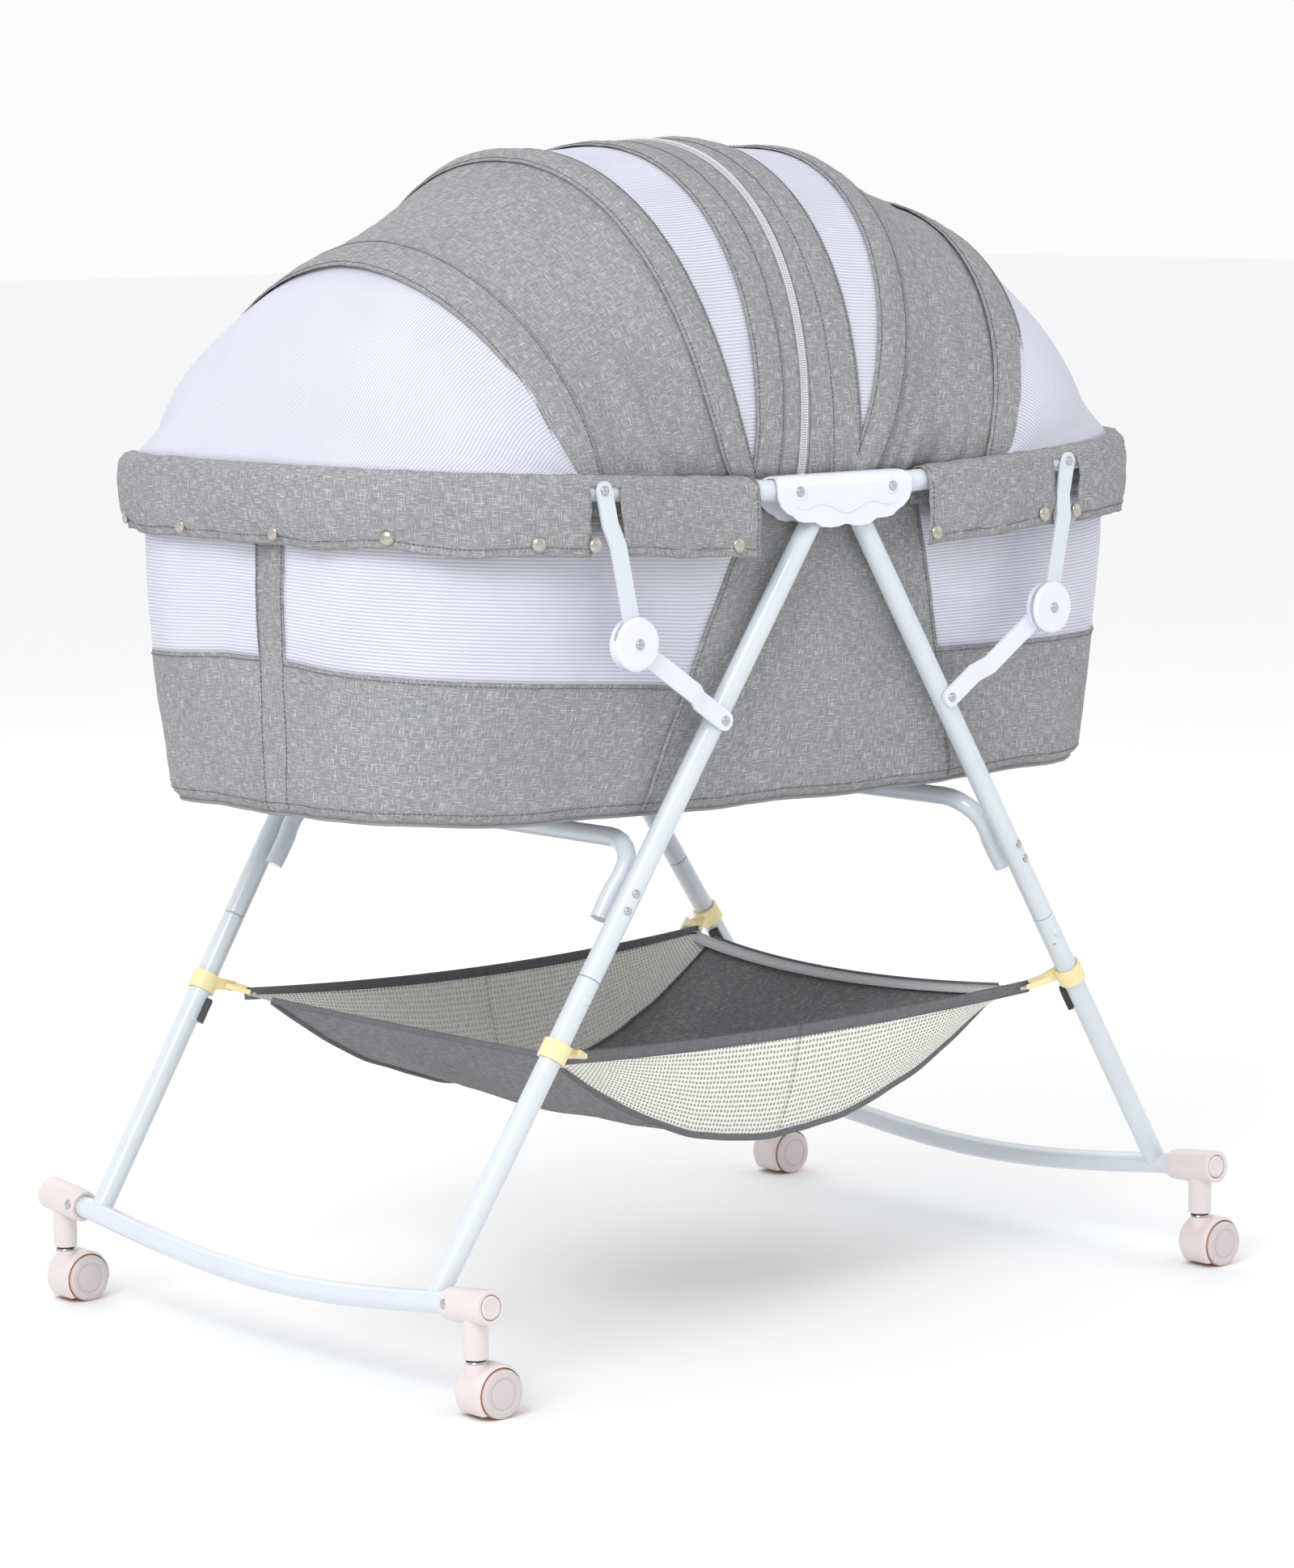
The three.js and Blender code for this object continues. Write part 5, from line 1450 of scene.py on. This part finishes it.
def make_straps(end, s):
    """White webbing from the basket's corners through cream sliders to the clips on the legs."""
    bm, sliders, tabs = bmesh.new(), bmesh.new(), bmesh.new()
    screws = []
    for sy in (-1, 1):
        corner = basket_point(s, sy, 0) + Vector((-s * 0.012, 0, -0.001))
        clip = leg_at(CLIP_Z)
        hook = Vector((s * (clip.x - 0.024), sy * abs(clip.y + 0.009), CLIP_Z - 0.006))
        way = (hook - corner).normalized()
        side = Vector((-way.y, way.x, 0)).normalized()
        line = [corner.lerp(hook, k / 10) + Vector((0, 0, -0.002 * sin(pi * k / 10))) for k in range(11)]
        grid = [[p + side * w + Vector((0, 0, h)) for w, h in ((-0.0075, 0.0012), (-0.0072, 0.002),
            (0.0072, 0.002),
            (0.0075, 0.0012), (0.0072, 0.0004), (-0.0072, 0.0004))] for p in line]
        add_grid(bm, grid, around=True)
        for at in (0.55, 0.75, 0.95):
            p = corner.lerp(hook, at) + Vector((0, 0, 0.0012))
            add_box(sliders, p, way, side, (0.0028, 0.0098, 0.0026))
        for edge in (-1, 1):
            add_box(sliders, corner.lerp(hook, 0.75) + side * edge * 0.0088 + Vector((0, 0, 0.0012)), way,
                side,
                (0.017 * 0.5 + 0.003, 0.0016, 0.0022))
        # black stop tab under each clip, with its screw
        leg_way = placed((LEG_FOOT - LEG_TOP).normalized(), s, sy)
        low = placed(leg_at(CLIP_Z - 0.020), s, sy)
        out = Vector((s * 0.8, sy * 0.6, 0)).normalized()
        out = (out - leg_way * out.dot(leg_way)).normalized()
        add_box(tabs, low - out * (TUBE_R + 0.0022), leg_way, out, (0.011, 0.0026, 0.0050))
        screws.append((low - out * (TUBE_R + 0.0046), -out, 0.0021))
    tape = []
    for k in range(33):
        v = -0.97 + 1.94 * k / 32
        p = basket_point(s, v, 0) + Vector((-s * 0.0022, 0, 0.0002))
        tape.append([p + Vector((-s * across * 0.013, 0, -across * 0.0055 + h)) for across,
            h in ((0, 0), (1, 0), (1, 0.0009), (0, 0.0009))])
    add_grid(bm, tape, around=True)
    webbing = new_piece(f"{end}_basket_straps", bm, WEBBING)
    for name, made, mat, slot in (("basket_sliders", sliders, CREAM, "cream_plastic"),
            ("stop_tabs", tabs, BLACK, "cream_plastic")):
        piece = finish_piece(f"{end}_{name}", made, mat)
        edge = piece.modifiers.new("edge", "BEVEL")
        edge.width, edge.segments, edge.limit_method = 0.0008, 3, "ANGLE"
        baked(piece)
        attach(piece, f"{end}_leg_frame")
    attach(webbing, f"{end}_leg_frame")
    studs(f"{end}_stop_screws", f"{end}_leg_frame", screws, STEEL, 0.4)


def add_box(bm, at, along, side, half):
    up = along.cross(side).normalized()
    corners = {}
    for i in (-1, 1):
        for j in (-1, 1):
            for k in (-1, 1):
                corners[i, j, k] = bm.verts.new(at + along * i * half[0] + side * j * half[1]
                    + up * k * half[2])
    for a, b, c, d in (((-1, -1, -1), (-1, 1, -1), (1, 1, -1), (1, -1, -1)),
            ((-1, -1, 1), (1, -1, 1), (1, 1, 1), (-1, 1, 1)),
            ((-1, -1, -1), (1, -1, -1), (1, -1, 1), (-1, -1, 1)),
            ((-1, 1, -1), (-1, 1, 1), (1, 1, 1), (1, 1, -1)),
            ((-1, -1, -1), (-1, -1, 1), (-1, 1, 1), (-1, 1, -1)),
            ((1, -1, -1), (1, 1, -1), (1, 1, 1), (1, -1, 1))):
        bm.faces.new([corners[x] for x in (a, b, c, d)])


# ---- rivets and screws ----
def make_hardware():
    brackets = []
    for sy in (-1, 1):
        for sx in (-1, 1):
            brackets.append((Vector((sx * PIVOT_X, sy * (RAIL_W + 0.0141), RAIL_Z)), (0, sy, 0), 0.0042))
    studs("bracket_rivets", "bracket_body", brackets, STEEL, 0.55)
    for end, s in SIDES:
        top, elbow, low, legs = [], [], [], []
        for sy in (-1, 1):
            t = Vector((s * (PIVOT_X + LINK_AT * cos(RISE)), sy * (RAIL_W + TUBE_R + 0.0036),
                RAIL_Z + LINK_AT * sin(RISE)))
            top.append((t, (0, sy, 0), 0.0040))
            elbow.append((Vector((s * ELBOW[0], sy * ELBOW[1], ELBOW[2])), (0, sy, 0), 0.0044))
            low.append((Vector((s * LOWER_RIVET[0], sy * LOWER_RIVET[1], LOWER_RIVET[2])), (0, sy, 0),
                0.0040))
            for z in (0.400, 0.3865):
                p = placed(leg_at(z), s, sy)
                legs.append((p + Vector((s * 0.0026, sy * (TUBE_R - 0.0003), 0)), (s * 0.25, sy, 0), 0.0036))
            foot = placed(LEG_FOOT, s, sy)
            legs.append((foot + Vector((s * 0.004, sy * 0.0125, 0.0040)), (s, sy * 0.3, 0.1), 0.0030))
            p = placed(leg_at(CLIP_Z + 0.030), s, sy)
            legs.append((p + Vector((-s * TUBE_R * 0.75, sy * TUBE_R * 0.66, 0)), (-s, sy * 0.9, 0), 0.0021))
        studs(f"{end}_rail_rivets", f"{end}_rail_half", top, STEEL, 0.5)
        studs(f"{end}_elbow_rivets", f"{end}_lower_links", elbow, STEEL, 0.5)
        studs(f"{end}_lower_rivets", f"{end}_lower_links", low, STEEL, 0.5)
        studs(f"{end}_leg_rivets", f"{end}_leg_frame", legs, STEEL, 0.5)
    for corner, sx, sy in CORNERS:
        p = Vector((sx * (0.420 + 0.0132), sy * 0.2645, 0.0912))
        studs(f"{corner}_housing_screw", f"{corner}_housing", [(p, (sx, 0, 0.15), 0.0043)], STEEL,
            0.4)
    # zip pull ring under the near bracket
    bm = bmesh.new()
    ring = [Vector((-0.0235 + 0.0055 * cos(2 * pi * k / 24), -0.2515, 0.6905 + 0.0065 * sin(2 * pi * k / 24)))
        for k in range(25)]
    add_tube(bm, ring, 0.0011, 8, caps=False)
    pull = finish_piece("zip_pull_ring", bm, NICKEL)
    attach(pull, "bracket_body")


# ---- studio ----
def make_studio():
    bm = bmesh.new()
    bmesh.ops.create_grid(bm, x_segments=2, y_segments=2, size=30)
    ground = new_piece("studio_floor", bm, FLOOR, smooth=False)
    world = bpy.data.worlds.new("studio")
    bpy.context.scene.world = world
    world.use_nodes = True
    world.node_tree.nodes["Background"].inputs["Color"].default_value = (0.985, 0.99, 1.0, 1)
    world.node_tree.nodes["Background"].inputs["Strength"].default_value = 0.98
    bpy.context.scene.view_settings.view_transform = "Standard"
    for name, at, size, power in (("key", (-2.6, -1.4, 2.6), 1.5, 52), ("fill", (2.8, -2.6, 2.2), 2.6, 8),
            ("rim", (0.8, 3.2, 2.8), 2.6, 22)):
        data = bpy.data.lights.new(name, "AREA")
        data.size, data.energy = size, power
        light = bpy.data.objects.new(name, data)
        bpy.context.scene.collection.objects.link(light)
        light.location = at
        light.rotation_euler = (Vector((0, 0, 0.5)) - Vector(at)).to_track_quat("-Z", "Y").to_euler()


make_bed_cloth()
make_mattress()
make_cuffs()
make_canopy()
make_basket()
make_hardware()
make_studio()
